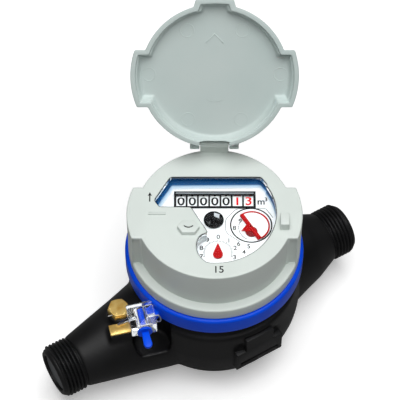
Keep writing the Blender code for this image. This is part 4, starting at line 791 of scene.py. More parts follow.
# The star is drawn this much nearer the viewer than its CAD part, where the photo shows it.
STAR_SHIFT = 0.85
STEM = [(0.7, 85.2), (0.7, 79.0), (0, 79.0)]
star_way = register_way @ shift(STAR_PLACE[0], STAR_PLACE[1] - STAR_SHIFT, 0)
star_edge = eased([(0, 85.2), (3.95, 85.2), (4.15, 85.75, 0.2), (4.6, 85.75, 0.2), (4.6, 84.9, 0.15),
                   (0, 84.9)])
flow_star = turned_piece("flow_star", star_edge, star_black, 72, star_way)
hub_edge = eased([(0, 86.0), (0.9, 86.0, 0.3), (1.2, 85.3)]) + STEM
star_hub = turned_piece("flow_star_hub", hub_edge, star_black, steps=40, place=star_way)
vanes = bmesh.new()
for k in range(6):
    spread = [math.tau * (k + share) / 6 + 0.42 for share in (-0.36, 0.0, 0.36)]
    low, high = 85.2 * MM, 85.85 * MM
    corners = []
    for radius in (1.1, 3.85):
        for a, z in zip(spread, (low, high, low)):
            point = Vector((radius * MM * math.cos(a), radius * MM * math.sin(a), z))
            corners.append(vanes.verts.new(star_way @ point))
    for face in ((0, 3, 4, 1), (1, 4, 5, 2), (3, 5, 4), (0, 1, 2), (2, 5, 3, 0)):
        vanes.faces.new([corners[n] for n in face])
star_vanes = new_piece("flow_star_vanes", vanes, star_black, 20)
# Two raised patches on the star are painted reflections of the lamps on its glossy facets. The bright one is
# a pale metallic grey, and the dim one uses the magnets' grey.
star_painted_reflection = new_finish("painted star reflection", srgb(206, 210, 214), 0.22, 0.6)
vary_roughness(star_painted_reflection, add_texture(star_painted_reflection, 400.0), 0.15, 0.3)
bright_reflection = [(0.16, 1.7), (1.55, 0.9), (2.4, 0.4), (2.8, 2.7), (0.16, 3.6)]
dim_reflection = [(-3.6, -0.9), (-1.7, -3.2), (-1.6, -1.2), (-2.4, -1.6)]
star_reflections = [raised_outline("flow_star_bright_reflection", bright_reflection, 85.7, 85.95, star_painted_reflection, star_way),
               raised_outline("flow_star_dim_reflection", dim_reflection, 85.5, 85.9, magnet_grey_and_dim_reflection, star_way)]
for piece in (flow_star, star_hub, star_vanes, *star_reflections):
    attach(piece, "indicator")
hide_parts("flow_indicator")

pointer_red = new_finish("pointer red", srgb(174, 8, 12), 0.6, specular=0.1)
red_clouds = add_texture(pointer_red, 200.0)
vary_colour(pointer_red, red_clouds, srgb(170, 6, 10), srgb(178, 10, 14))
drop_outline = [(0, 4.95, 0.25)] + arc((0, -1.4), 2.25, 158, 382, 28)
drop_way = register_way @ shift(*DROP_PLACE, 0)
drop_loop = eased(drop_outline, closed=True, steps=4)
drop = raised_outline("red_drop", drop_loop, 84.9, 85.6, pointer_red, drop_way)
ease_edges(drop, 0.18)
drop_stem = turned_piece("red_drop_stem", [(0, 85.2), *STEM], pointer_red, 32, drop_way)
for piece in (drop, drop_stem):
    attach(piece, "pointer")
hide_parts("drop_pointer")

# The carrier's hub is the carrier's red painted darker, as painted shade.
red_painted_shade = new_finish("red with painted shade", srgb(120, 8, 14), 0.3, specular=0.2)
vary_roughness(red_painted_shade, add_texture(red_painted_shade, 400.0), 0.25, 0.4)
# The carrier is drawn this far off its CAD part's place, and at this turn, as the photo shows it.
BAR_SHIFT, BAR_TURN = (-0.4, -1.3), -58.5
bar_way = register_way @ shift(SWEEP_PLACE[0] + BAR_SHIFT[0], SWEEP_PLACE[1] + BAR_SHIFT[1], 0)
bar_way = bar_way @ Matrix.Rotation(math.radians(BAR_TURN), 4, "Z")
SWEEP_MIDDLE = (0, 0.75)
carrier_loop = arc(SWEEP_MIDDLE, 8.1, 0, 180, 60)
carrier = raised_outline("sweep_carrier", carrier_loop, 84.85, 85.1, pointer_red, bar_way)
rim_loop = arc(SWEEP_MIDDLE, 8.2, 0, 180, 60) + arc(SWEEP_MIDDLE, 7.45, 180, 0, 60)
carrier_rim = framed_plate("sweep_carrier_rim", [rim_loop], 85.05, 85.4, pointer_red, bar_way)
bar_outline = eased([(-8.0, -1.0, 0.5), (8.0, -1.0, 0.5), (8.0, 0.9, 0.5), (-8.0, 0.9, 0.5)], True, 4)
carrier_bar = raised_outline("sweep_carrier_bar", bar_outline, 84.9, 85.75, pointer_red, bar_way)
hub_edge = eased([(0, 85.35), (2.8, 85.35, 0.4), (2.8, 84.85), (0, 84.85)])
hub_way = bar_way @ shift(2.5, -1.0, 0)
carrier_hub = turned_piece("sweep_carrier_hub", hub_edge, red_painted_shade, 48, hub_way)
tip_points = [(-2.1, -0.6), (-0.1, -5.1, 0.12), (0.5, -3.5, 0.3), (1.4, -3.7, 0.3), (2.4, -0.6)]
tip_outline = eased(tip_points, True, 3)
carrier_tip = raised_outline("sweep_carrier_tip", tip_outline, 85.0, 85.6, pointer_red, bar_way)
for piece in (carrier_bar, carrier_tip):
    ease_edges(piece, 0.15)
stem_way = register_way @ shift(*SWEEP_PLACE, 0)
carrier_stem = turned_piece("sweep_stem", [(0, 85.2), *STEM], pointer_red, 32, stem_way)
pivot_edge = eased([(0, 85.9), (0.4, 85.9, 0.15), (0.4, 85.6), (0, 85.6)])
pivot_cap = turned_piece("sweep_pivot", pivot_edge, star_black, 24, bar_way)
bright_foil = new_finish("bright foil", srgb(248, 248, 248), 0.35)
bright_foil.node_tree.nodes["Principled BSDF"].inputs["Coat Weight"].default_value = 0.4
vary_roughness(bright_foil, add_texture(bright_foil, 300.0), 0.28, 0.42)
half_loop = arc(SWEEP_MIDDLE, 7.7, 0, 180, 60)
half_disc = raised_outline("bright_half_disc", half_loop, 85.1, 85.3, bright_foil, bar_way)
for piece in (carrier, carrier_rim, carrier_bar, carrier_hub,
              carrier_tip, carrier_stem, pivot_cap, half_disc):
    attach(piece, "modulator")
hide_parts("modulator_carrier")
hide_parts("modulator_foil")

# Bezel and window
# A deep blue wall runs round the dial below the window. A sloped lining at its foot is painted paler towards
# the dial, as a painted reflection of the blue wall on the white dial, and its near side is painted pale
# grey. The window is a clear moulding whose raised middle fills the cover's opening, with a thin dark line of
# painted shade round it.
def window_outline():
    """The window's odd outline on the face, anticlockwise, in mm."""
    corners = [(24.3, 16.2), (21.6, 20.3, 2.2), (-20.5, 20.3, 2.4), (-27.9, 6.9, 2.4), (-25.3, 3.1, 1.4),
               (-10.9, 2.9, 1.3), (-3.3, -10.9, 0.7), (-5.9, -12.0, 0.8), (-7.0, -13.2)]
    near_round = arc((2.3, -18.4), 10.7, 152, 236, 20)
    return eased(corners, steps=6) + near_round + arc((0.3, 0.4), 28.1, 265, 391, 64)


def pushed(loop, distance):
    """Push an anticlockwise outline outwards by a distance."""
    moved = []
    for i, point in enumerate(loop):
        here = Vector(point)
        back = (here - Vector(loop[i - 1])).normalized()
        ahead = (Vector(loop[(i + 1) % len(loop)]) - here).normalized()
        normal = Vector((back.y + ahead.y, -back.x - ahead.x)).normalized()
        moved.append(tuple(here + normal * distance / max(0.5, normal.dot(Vector((back.y, -back.x))))))
    return moved


def stacked_solid(name, layers, material=None, place=Matrix(), sharp=35, ring=False):
    """A closed solid, or a ring, through (outline, height) layers in mm with as many points each."""
    shape = bmesh.new()
    rings = []
    for outline, height in layers:
        rings.append([shape.verts.new(place @ mm(x, y, height)) for x, y in outline])
    count = len(rings[0])
    for lower, upper in zip(rings, rings[1:] + rings[:1] if ring else rings[1:]):
        for i in range(count):
            n = (i + 1) % count
            shape.faces.new((lower[i], lower[n], upper[n], upper[i]))
    if not ring:
        shape.faces.new(rings[0])
        shape.faces.new(rings[-1])
    return new_piece(name, shape, material, sharp)


def one_finish(piece, material, sharp=35):
    """Leave one material on a piece, also on the faces that a tool has left, and shade it."""
    paint(piece, material)
    for face in piece.data.polygons:
        face.material_index = 0
    piece.data.shade_smooth()
    piece.data.set_sharp_from_angle(angle=math.radians(sharp))


def sloped(loop, reach):
    """The outline drawn in by a reach at its far side, and not at all at its near side."""
    drawn = []
    for (x, y), (inner_x, inner_y) in zip(loop, pushed(loop, -reach)):
        share = min(1.0, max(0.0, (y + 4.0) / 12.0)) * min(1.0, max(0.25, (27.0 - x) / 10.0))
        drawn.append((x + (inner_x - x) * share, y + (inner_y - y) * share))
    return drawn


def mix_node(tree, share, first, second, kind="RGBA"):
    """One Mix node's result; the share and both ends are each a socket or a value."""
    node = tree.nodes.new("ShaderNodeMix")
    node.data_type = kind
    for entry, value in (("Factor", share), ("A", first), ("B", second)):
        if isinstance(value, bpy.types.NodeSocket):
            tree.links.new(value, node.inputs[entry])
        else:
            node.inputs[entry].default_value = value
    return node.outputs["Result"]


BEZEL_FOOT, BEZEL_TOP = 84.8, 87.9
bezel_blue = new_finish("bezel blue", srgb(16, 70, 124), 0.3, specular=0.12)
bezel_tree = bezel_blue.node_tree
bezel_place = bezel_tree.nodes.new("ShaderNodeTexCoord").outputs["Object"]
bezel_axes = bezel_tree.nodes.new("ShaderNodeSeparateXYZ")
bezel_tree.links.new(bezel_place, bezel_axes.inputs[0])
bezel_height = map_span(bezel_tree, bezel_axes.outputs["Z"], (BEZEL_FOOT * MM, 89.0 * MM))
# Painted reflection: going down towards the foot, the blue pales to near white, standing in for the blue
# wall's glow on the white dial.
bezel_painted_glow = bezel_tree.nodes.new("ShaderNodeValToRGB")
bezel_painted_glow.color_ramp.elements[0].color = (*srgb(236, 243, 249), 1)
bezel_painted_glow.color_ramp.elements[1].color = (*srgb(10, 58, 112), 1)
for position, tone in ((0.2, (176, 208, 232)), (0.3, (24, 88, 146))):
    stop = bezel_painted_glow.color_ramp.elements.new(position)
    stop.color = (*srgb(*tone), 1.0)
bezel_tree.links.new(bezel_height, bezel_painted_glow.inputs["Fac"])
# Painted light: on the side near the viewer the blue gives way to a pale grey.
bezel_reach = bezel_tree.nodes.new("ShaderNodeVectorMath")
bezel_reach.operation = "DOT_PRODUCT"
bezel_reach.inputs[1].default_value = (-math.sin(REGISTER_TURN), math.cos(REGISTER_TURN), 0)
bezel_tree.links.new(bezel_place, bezel_reach.inputs[0])
bezel_far = map_span(bezel_tree, bezel_reach.outputs["Value"], (-4.0 * MM, 3.0 * MM))
near_painted_pale = (*srgb(214, 220, 222), 1)
bezel_colour = mix_node(bezel_tree, bezel_far, near_painted_pale, bezel_painted_glow.outputs["Color"])
bezel_tree.links.new(bezel_colour, bezel_tree.nodes["Principled BSDF"].inputs["Base Color"])
opening_loop = window_outline()
bezel_loops = [pushed(opening_loop, 1.2), opening_loop]
dial_bezel = framed_plate("dial_bezel_finished", bezel_loops, BEZEL_FOOT, BEZEL_TOP, bezel_blue, register_way)
inner_loop, outer_loop = pushed(opening_loop, -0.06), pushed(opening_loop, -0.01)
foot_layers = [(outer_loop, BEZEL_FOOT)]
for reach, z in ((2.5, BEZEL_FOOT), (2.4, 84.95), (1.0, 85.9), (0.15, 87.8)):
    foot_layers.append((sloped(inner_loop, reach), z))
foot_layers.append((outer_loop, 87.8))
bezel_foot = stacked_solid("bezel_foot", foot_layers, bezel_blue, register_way, 50, ring=True)
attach(bezel_foot, "register")
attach(dial_bezel, "register")
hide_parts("dial_bezel")


def clear_finish(name, colour, roughness, index, specular=0.5):
    """A clear plastic of a refractive index."""
    material = new_finish(name, colour, roughness, specular=specular)
    shader = material.node_tree.nodes["Principled BSDF"]
    shader.inputs["Transmission Weight"].default_value = 1.0
    shader.inputs["IOR"].default_value = index
    return material


# The window's index is lower than real plastic's, so that the dial isn't lifted under the pad.
clear_window = clear_finish("clear window", (0.97, 0.99, 0.995), 0.02, 1.12, 0.12)
vary_roughness(clear_window, add_texture(clear_window, 40.0), 0.01, 0.03)
WINDOW_RADIUS, WINDOW_FOOT, WINDOW_TOP = 33.6, 88.2, 89.7
window_edge = eased([(0, WINDOW_TOP), (WINDOW_RADIUS, WINDOW_TOP, 0.3), (WINDOW_RADIUS, WINDOW_FOOT, 0.3),
                     (0, WINDOW_FOOT)])
window = turned_piece("window_finished", window_edge, clear_window, steps=144, place=register_way)
pad_loops = [(pushed(opening_loop, -inset), z) for inset, z in ((0.3, 89.3), (0.3, 91.4), (0.4, 91.5))]
work(window, stacked_solid("window pad", pad_loops, place=register_way), "UNION")
one_finish(window, clear_window, 25)
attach(window, "register")
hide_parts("window")
# A thin black ring fills the gap between the window's pad and the cover's opening as painted shade.
line_loops = [pushed(opening_loop, -0.02), pushed(opening_loop, -0.26)]
window_gap_shade = framed_plate("window_gap_shade", line_loops, 91.0, 91.7, mask_and_gap_shade_black, register_way)
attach(window_gap_shade, "register")

# Register cover
# The cover is a pale grey satin moulding: a drum with a foot flange, an ear on each side and a post
# for the lid at the back. It clips over the cup, and its face has a hexagonal pad and a nib.
cover_grey = new_finish("cover grey", srgb(216, 224, 219), 0.42)
cover_clouds = add_texture(cover_grey, 45.0)
vary_colour(cover_grey, cover_clouds, srgb(214, 222, 217), srgb(218, 226, 221))
add_grain(cover_grey, add_texture(cover_grey, 1600.0, 2.0), 0.00003, 0.3)
LEDGE, COVER_FOOT = 71.2, 64.8
COVER_RADIUS, COVER_EAR, EAR_HALF = 36.0, 40.2, 14.3


def eared_outline(radius, ear_radius, back, front, tab=0.0, tip=0.0):
    """A round outline, anticlockwise, with an ear at each side and a tab in front if asked."""
    points = []

    def corner(side, reach, y, ease):
        points.append((side * math.sqrt(reach * reach - y * y), y, ease))

    def sweep(reach, start, end, count):
        trim = math.degrees(1.8 / reach)
        points.extend(arc((0, 0), reach, start + trim, end - trim, count))

    high, low = [math.degrees(math.asin(y / radius)) for y in (back, front)]
    ear_high, ear_low = [math.degrees(math.asin(y / ear_radius)) for y in (back, front)]
    corner(1, ear_radius, -front, 0.8)
    sweep(ear_radius, -ear_low, ear_high, 10)
    corner(1, ear_radius, back, 0.8)
    corner(1, radius, back, 0.9)
    sweep(radius, high, 180 - high, 60)
    corner(-1, radius, back, 0.9)
    corner(-1, ear_radius, back, 0.8)
    sweep(ear_radius, 180 - ear_high, 180 + ear_low, 10)
    corner(-1, ear_radius, -front, 0.8)
    corner(-1, radius, -front, 0.9)
    if tab:
        side = math.degrees(math.asin(tab / radius))
        foot = -math.sqrt(radius * radius - tab * tab)
        sweep(radius, 180 + low, 270 - side, 24)
        points.extend([(-tab, foot, 0.9), (1.0 - tab, tip + 0.3, 0.9), (0, tip, 30)])
        points.extend([(tab - 1.0, tip + 0.3, 0.9), (tab, foot, 0.9)])
        sweep(radius, 270 + side, 360 - low, 24)
    else:
        sweep(radius, 180 + low, 360 - low, 60)
    corner(1, radius, -front, 0.9)
    return eased(points, True, 4)


def cover_outline(inset):
    """The cover's outline above its flange, drawn in by an inset."""
    return eared_outline(COVER_RADIUS - inset, COVER_EAR - inset, EAR_HALF - inset, EAR_HALF - inset)


face_edge = ((0, LEDGE - 0.6), (0, FACE - 0.6), (0.07, FACE - 0.32), (0.2, FACE - 0.13),
             (0.42, FACE - 0.03), (0.7, FACE), (1.8, FACE))
cover_layers = [(cover_outline(inset), z) for inset, z in face_edge]
register_cover = stacked_solid("register_cover_finished", cover_layers, place=register_way)
foot_section = eased([
    (33.5, LEDGE), (40.3, LEDGE, 0.8), (40.3, COVER_FOOT, 0.4), (39.0, COVER_FOOT, 0.2), (39.0, 69.4, 0.3),
    (36.2, 69.4, 0.3), (36.2, COVER_FOOT, 0.2), (33.5, COVER_FOOT)], closed=True)
work(register_cover, turned_piece("foot", foot_section, steps=144, place=register_way), "UNION")
bore_edge = [(0, 90.0), (34.3, 90.0), (34.3, 60.0), (0, 60.0)]
work(register_cover, turned_piece("bore", bore_edge, steps=144, place=register_way))
mouth = [(opening_loop, 88.9), (opening_loop, FACE - 0.2), (pushed(opening_loop, 0.4), FACE + 0.2)]
work(register_cover, stacked_solid("opening", mouth, place=register_way))
for side in (-1, 1):
    setback = brick("setback", (3.2, 1.4, 19.4), mm(side * 35.7, -EAR_HALF, 81.0), frame_turn=register_way)
    work(register_cover, setback)
HINGE_BACK, HINGE_HEIGHT = 33.8, 99.8
hinge_way = register_way @ shift(0, HINGE_BACK, HINGE_HEIGHT) @ quarter("Y")
sideways = register_way @ quarter("Z") @ quarter("X")
post_section = eased([
    (34.3, 91.6), (36.0, 91.6), (36.0, 97.2), (36.2, 99.4), (36.1, 101.5, 0.5), (32.5, 101.5, 0.4),
    (32.4, 98.6, 0.3), (34.5, 95.6, 1.0)], True, 4)
post = raised_outline("post", post_section, -6.6, 6.6, None, sideways)
work(register_cover, post, "UNION")
pin_edge = [(0, 8), (1.3, 8), (1.3, -8), (0, -8)]
work(register_cover, turned_piece("pin hole", pin_edge, steps=32, place=hinge_way))
one_finish(register_cover, cover_grey)
PAD = (-11.85, -9.2)


def pad_outline(inset):
    """The hexagonal pad's outline, drawn in by an inset."""
    wide, narrow, half = 5.15 - inset, 2.9 - 0.6 * inset, 3.4 - inset
    corners = ((narrow, half), (-narrow, half), (-wide, 0), (-narrow, -half), (narrow, -half), (wide, 0))
    return eased([(PAD[0] + x, PAD[1] + y, 0.35) for x, y in corners], True, 3)


PAD_TOP = FACE + 2.2
pad_edge = ((0, FACE - 0.4), (0.05, PAD_TOP - 0.4), (0.2, PAD_TOP - 0.1), (0.5, PAD_TOP))
pad_layers = [(pad_outline(inset), z) for inset, z in pad_edge]
hex_pad = stacked_solid("hexagonal_pad", pad_layers, cover_grey, register_way)
smile = arc((PAD[0], PAD[1] + 1.85), 2.75, 214, 326, 20) + arc((PAD[0], PAD[1] + 2.0), 2.25, 322, 218, 20)
work(hex_pad, raised_outline("curved slot", smile, PAD_TOP - 1.2, PAD_TOP + 1.0, place=register_way))
one_finish(hex_pad, cover_grey)
# The curved slot is filled with black to just below the pad's top, as painted shade in the slot.
slot_shade_black = new_finish("slot painted shade", srgb(14, 14, 15), 0.6)
vary_roughness(slot_shade_black, add_texture(slot_shade_black, 700.0), 0.5, 0.7)
slot_shade_fill = raised_outline("curved_slot_shade", pushed(smile, -0.01), PAD_TOP - 1.3, PAD_TOP - 0.25,
                           slot_shade_black, register_way)
nib = brick("face_nib", (4.0, 6.6, 4.6), mm(31.8, -6.4, FACE + 1.9), cover_grey, frame_turn=register_way)
ease_edges(nib, 0.3, 3)
ramp_section = [(-1.5, FACE - 0.3), (0.3, FACE - 0.3), (0.3, FACE + 0.02), (-1.25, FACE + 0.75),
                (-1.5, FACE + 0.7)]
ramp = raised_outline("face_ramp", ramp_section, -30.2, -22.2, cover_grey, sideways)
ease_edges(ramp, 0.12, 2)
for piece in (register_cover, hex_pad, slot_shade_fill, nib, ramp):
    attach(piece, "register")
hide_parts("register_cover")
arrow = [(-29.7, 11.3), (-30.7, 9.1), (-29.98, 9.5), (-29.98, 6.0), (-29.42, 6.0), (-29.42, 9.5),
         (-28.7, 9.1)]
size_word = ("15", 5.0, 1.7, -31.3, 0.05)
cover_print = flat_print("cover_print", dial_ink, [arrow], [size_word], FACE + 0.002, register_way)
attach(cover_print, "register")

# Lid
# The lid is a shallow pale grey moulding with a drafted wall, an ear at each side and a finger tab.
# It stands open on its steel pin. Ejector pins left six round marks on its inside.
# The lid is the same plastic as the cover, painted a darker grey than the cover's as painted shade.
lid_shaded_grey = new_finish("lid grey with painted shade", srgb(188, 203, 199), 0.45)
lid_clouds = add_texture(lid_shaded_grey, 30.0)
vary_colour(lid_shaded_grey, lid_clouds, srgb(193, 207, 204), srgb(199, 211, 208))
add_grain(lid_shaded_grey, add_texture(lid_shaded_grey, 1500.0, 2.0), 0.00003, 0.3)
LID_OPEN = math.radians(124.0)
lid_way = register_way @ shift(0, HINGE_BACK, HINGE_HEIGHT)
lid_way = lid_way @ Matrix.Rotation(-LID_OPEN, 4, "X") @ shift(0, -HINGE_BACK, 0)
RIM, LID_FLOOR, LID_TOP = -7.5, -2.7, -0.9
LID_RADIUS, LID_EAR, LID_EAR_FRONT = 33.6, 38.2, 12.5
TAB_HALF, TAB_TIP = 9.5, -36.0


def lid_outline(inset):
    """The lid's outline, drawn in by an inset."""
    return eared_outline(LID_RADIUS - inset, LID_EAR - inset, EAR_HALF - inset, LID_EAR_FRONT - inset,
                         TAB_HALF - inset, TAB_TIP + inset)


inside = [(6.0, LID_FLOOR), (5.0, LID_FLOOR), (4.55, LID_FLOOR - 0.06), (4.2, LID_FLOOR - 0.28),
          (3.9, LID_FLOOR - 0.6), (3.6, LID_FLOOR - 1.05), (3.05, RIM + 1.85), (2.95, RIM + 1.75),
          (2.55, RIM + 1.65), (2.45, RIM + 1.5), (2.15, RIM + 0.3), (2.08, RIM + 0.12),
          (1.92, RIM + 0.02), (1.75, RIM)]
outside = [(0.4, RIM), (0.14, RIM + 0.07), (0.0, RIM + 0.3), (0.0, RIM + 0.75), (0.1, RIM + 1.15),
           (0.45, RIM + 2.0), (1.02, RIM + 3.43), (1.55, RIM + 4.65), (2.05, RIM + 5.5),
           (2.5, RIM + 6.05), (2.95, RIM + 6.4), (3.4, LID_TOP - 0.04), (4.0, LID_TOP), (5.2, LID_TOP)]
lid_layers = [(lid_outline(inset), z) for inset, z in inside + outside]
lid_shell = stacked_solid("lid_finished", lid_layers, place=lid_way)
work(lid_shell, brick("gate", (13.8, 12.0, 24.0), mm(0, HINGE_BACK + 3.0, 0), frame_turn=lid_way))
work(lid_shell, brick("nib recess", (4.6, 8.2, 6.8), mm(31.8, -6.0, -6.6), frame_turn=lid_way))
one_finish(lid_shell, lid_shaded_grey)
axis_way = lid_way @ shift(0, HINGE_BACK, 0) @ quarter("Y")
lid_pieces = [lid_shell]
for sign, word in ((-1, "left"), (1, "right")):
    low, high = sorted((sign * 6.9, sign * 11.3))
    lug_section = eased([(1.05, high, 0.1), (2.8, high, 0.4), (2.8, low, 0.4), (1.05, low, 0.1)], True, 3)
    lid_pieces.append(turned_piece(f"lid_lug_{word}", lug_section, lid_shaded_grey, 48, axis_way))
    web_centre = mm(sign * 9.1, HINGE_BACK - 2.1, -3.2)
    web = brick(f"lid_lug_web_{word}", (4.3, 3.4, 5.0), web_centre, lid_shaded_grey, frame_turn=lid_way)
    lid_pieces.append(ease_edges(web, 0.3, 2))
mark_edge = [(2.8, 0.05), (2.85, -0.06), (3.1, -0.11), (3.3, -0.06), (3.35, 0.05)]
marks_shape = bmesh.new()
for x, y in ((-12.5, -20.5), (12.5, -20.5), (-30.0, 0), (30.0, 0), (-12.2, 21.4), (12.2, 21.4)):
    spot = lid_way @ shift(x, y, LID_FLOOR)
    turn_profile(marks_shape, mark_edge, 64, spot)
lid_pieces.append(new_piece("lid_pin_marks", marks_shape, lid_shaded_grey, 25))
chevron = stroked([(-4.0, -14.7), (0.0, -18.9), (4.0, -14.7)], 0.75)
crease = arc((0, 4.6), 8.4, 63, 117, 18) + arc((0, 3.4), 9.25, 114.5, 65.5, 18)
for name, outline in (("lid_chevron", chevron), ("lid_curved_mark", crease)):
    mark = raised_outline(name, outline, LID_FLOOR - 0.14, LID_FLOOR + 0.1, lid_shaded_grey, lid_way)
    lid_pieces.append(ease_edges(mark, 0.1, 2))
for piece in lid_pieces:
    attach(piece, "lid")
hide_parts("lid")

# Regulator plug and strip
# The regulator screw on the inlet horn is turned from hexagon brass, drilled across for the seal
# wire, and a short brass strip lies beside it. Both keep their machined shine.
machined_brass = new_finish("machined brass", srgb(240, 200, 110), 0.3, 0.6)
brass_clouds = add_texture(machined_brass, 220.0, 4.0)
vary_colour(machined_brass, brass_clouds, srgb(226, 178, 88), srgb(246, 214, 132))
vary_roughness(machined_brass, brass_clouds, 0.16, 0.34)
add_grain(machined_brass, add_texture(machined_brass, 900.0, 2.0, (1, 1, 6)), 0.00003, 0.3)
plug_way = shift(*PLUG_PLACE, 0) @ along_seal
hexagon = [(5.2 * math.cos(math.tau * k / 6), 5.2 * math.sin(math.tau * k / 6)) for k in range(6)]
plug = raised_outline("brass_plug", hexagon, 46.3, 49.8, machined_brass, plug_way)
crown_edge = eased([(0, 49.8), (4.45, 49.8, 0.3), (5.9, 48.9), (5.9, 46.0), (0, 46.0)])
work(plug, turned_piece("crown", crown_edge, steps=96, place=plug_way), "INTERSECT")
HEAD_MIDDLE, HOLE_OFFSET = 48.05, -2.6
wire_hole = plug_way @ shift(0, HOLE_OFFSET, HEAD_MIDDLE) @ quarter("Y")
work(plug, turned_piece("wire hole", [(0, 9), (0.8, 9), (0.8, -9), (0, -9)], steps=24, place=wire_hole))
paint(plug, machined_brass)
ease_edges(plug, 0.18, 2)
shank_edge = [(0, 46.6), (3.0, 46.6), (3.0, 38.4), (2.6, 38.0), (0, 38.0)]
plug_shank = turned_piece("brass_plug_shank", shank_edge, machined_brass, 48, plug_way)
strip_centre = seal_way(STRIP_SHIFT, STRIP_FROM_PLUG, 44.8)
strip = brick("brass_strip", STRIP_SIZE, strip_centre, machined_brass, along_seal)
ease_edges(strip, 0.25, 3)
for piece in (plug, plug_shank, strip):
    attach(piece, "body")
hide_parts("regulator_plug")
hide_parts("seal_strip")

# Seal
# A clear case with a blue rotor locks the twisted seal wire. The handle snaps off once the wire is
# wound up, and a small pale insert shows through the case.
LUG_TOP, CASE_HALF = 59.7, 3.5
SEAL_MIDDLE = LUG_TOP + GAP + CASE_HALF
seal_way_in = shift(*SEAL_PLACE, SEAL_MIDDLE) @ along_seal
clear_case = clear_finish("clear case", (0.93, 0.96, 0.98), 0.06, 1.45)
vary_roughness(clear_case, add_texture(clear_case, 260.0), 0.03, 0.12)
case_outline = eased([(-6, -6.5, 0.7), (6, -6.5, 0.7), (6, 6.5, 0.7), (-6, 6.5, 0.7)], True, 3)
case = raised_outline("seal_case_finished", case_outline, -CASE_HALF, CASE_HALF, clear_case, seal_way_in)
rotor_bore = seal_way_in @ quarter("X")
bore_edge = [(0, 8.5), (2.9, 8.5), (2.9, -4.5), (0, -4.5)]
work(case, turned_piece("rotor bore", bore_edge, steps=40, place=rotor_bore))
across = seal_way_in @ quarter("Y")
work(case, turned_piece("wire bore", [(0, 8), (0.8, 8), (0.8, -8), (0, -8)], steps=24, place=across))
ease_edges(case, 0.3, 2)
rotor_section = eased([(0, 7.9), (3.5, 7.9, 0.2), (3.5, 6.8, 0.2), (2.6, 6.8, 0.1), (2.6, -3.8, 0.3),
                       (0, -3.8)])
rotor = turned_piece("seal_rotor_finished", rotor_section, ring_blue, 48, rotor_bore)
ribs = bmesh.new()
for k in range(6):
    turn = Matrix.Rotation(math.tau * k / 6, 4, "Z")
    bmesh.ops.create_cube(ribs, size=1.0, matrix=rotor_bore @ turn @ shift(2.45, 0, 4.4)
                          @ Matrix.Diagonal((0.6 * MM, 0.5 * MM, 4.0 * MM, 1)))
rotor_ribs = new_piece("seal_rotor_ribs", ribs, ring_blue)
handle_outline = arc((0, -14.05), 1.95, 180, 360, 20) + [(1.6, -7.6), (-1.6, -7.6)]
handle = raised_outline("seal_handle", handle_outline, -0.85, 0.85, ring_blue, seal_way_in)
ease_edges(handle, 0.35, 3)
insert_white = new_finish("insert white", srgb(236, 234, 226), 0.5)
vary_roughness(insert_white, add_texture(insert_white, 500.0), 0.4, 0.6)
insert = brick("seal_insert", (5.4, 0.3, 2.6), mm(1.2, -5.7, 1.9), insert_white, frame_turn=seal_way_in)
ink_way = seal_way_in @ shift(1.2, -5.86, 1.9) @ quarter("X")
insert_ink = flat_print("seal_insert_print", dial_ink, (), [("000", 1.9, 0, 0, 0)], 0.0, ink_way)
for piece in (case, rotor, rotor_ribs, handle, insert, insert_ink):
    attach(piece, "body")
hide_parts("seal_case")
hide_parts("seal_rotor")

# Seal wire
# Two fine steel strands are twisted together, run through the plug's head, across the case and the
# rotor, and down into the ring's lug.
lug_axis = Vector(SEAL_PLACE).normalized()
lug_hole = lug_axis * LUG_HOLE
lug_side = Vector((-lug_axis.y, lug_axis.x))
knots = [seal_way(along, HOLE_OFFSET, HEAD_MIDDLE) for along in (-5.6, 0, 4.6)]
knots.append(seal_way(5.2, -7.0, HEAD_MIDDLE + 4.0))
for along, aside, rise in ((-10.6, 2.2, -4.4), (-8.6, 0, -0.6), (-6, 0, 0), (6.4, 0, 0),
                           (8.4, -0.3, -1.4), (8.6, -0.6, -4.2)):
    knots.append(seal_way(along, aside, SEAL_MIDDLE + rise, SEAL_PLACE))
for reach in (4.0, 0.0, -3.6):
    point = lug_hole + lug_side * reach
    knots.append(mm(point.x, point.y, LUG_HEIGHT))
knots = [2 * knots[0] - knots[1]] + knots + [2 * knots[-1] - knots[-2]]
# A smooth curve through the knots, in short steps.
SPAN_STEPS = 14
route = []
for i in range(1, len(knots) - 2):
    before, start, end, after = knots[i - 1:i + 3]
    for step in range(SPAN_STEPS):
        t = step / SPAN_STEPS
        bend = (2 * before - 5 * start + 4 * end - after) * t * t
        twist = (3 * start - before - 3 * end + after) * t ** 3
        route.append(0.5 * (2 * start + (end - before) * t + bend + twist))
route.append(knots[-2])
STRAND_RADIUS, STRAND_OFFSET, STRAND_LAY = 0.2, 0.19, 2.2
strands = bpy.data.curves.new("strands", "CURVE")
strands.dimensions = "3D"
strands.bevel_depth = STRAND_RADIUS * MM
strands.bevel_resolution = 2
strands.use_fill_caps = True
for phase in (0.0, math.pi):
    spline = strands.splines.new("POLY")
    spline.points.add(len(route) - 1)
    travelled = 0.0
    side = Vector((0, 0, 1))
    for i, point in enumerate(route):
        ahead = (route[min(i + 1, len(route) - 1)] - route[max(i - 1, 0)]).normalized()
        if i:
            travelled += (point - route[i - 1]).length
        side = (side - ahead * side.dot(ahead)).normalized()
        other = ahead.cross(side)
        turn = phase + math.tau * travelled / (STRAND_LAY * MM)
        out = (side * math.cos(turn) + other * math.sin(turn)) * STRAND_OFFSET * MM
        spline.points[i].co = (*(point + out), 1)
wire_shape = bmesh.new()
wire_shape.from_mesh(curve_mesh(strands))
weld(wire_shape)
seal_wire = new_piece("seal_wire_twisted", wire_shape, drawn_steel, 60)
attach(seal_wire, "body")
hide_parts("seal_wire")

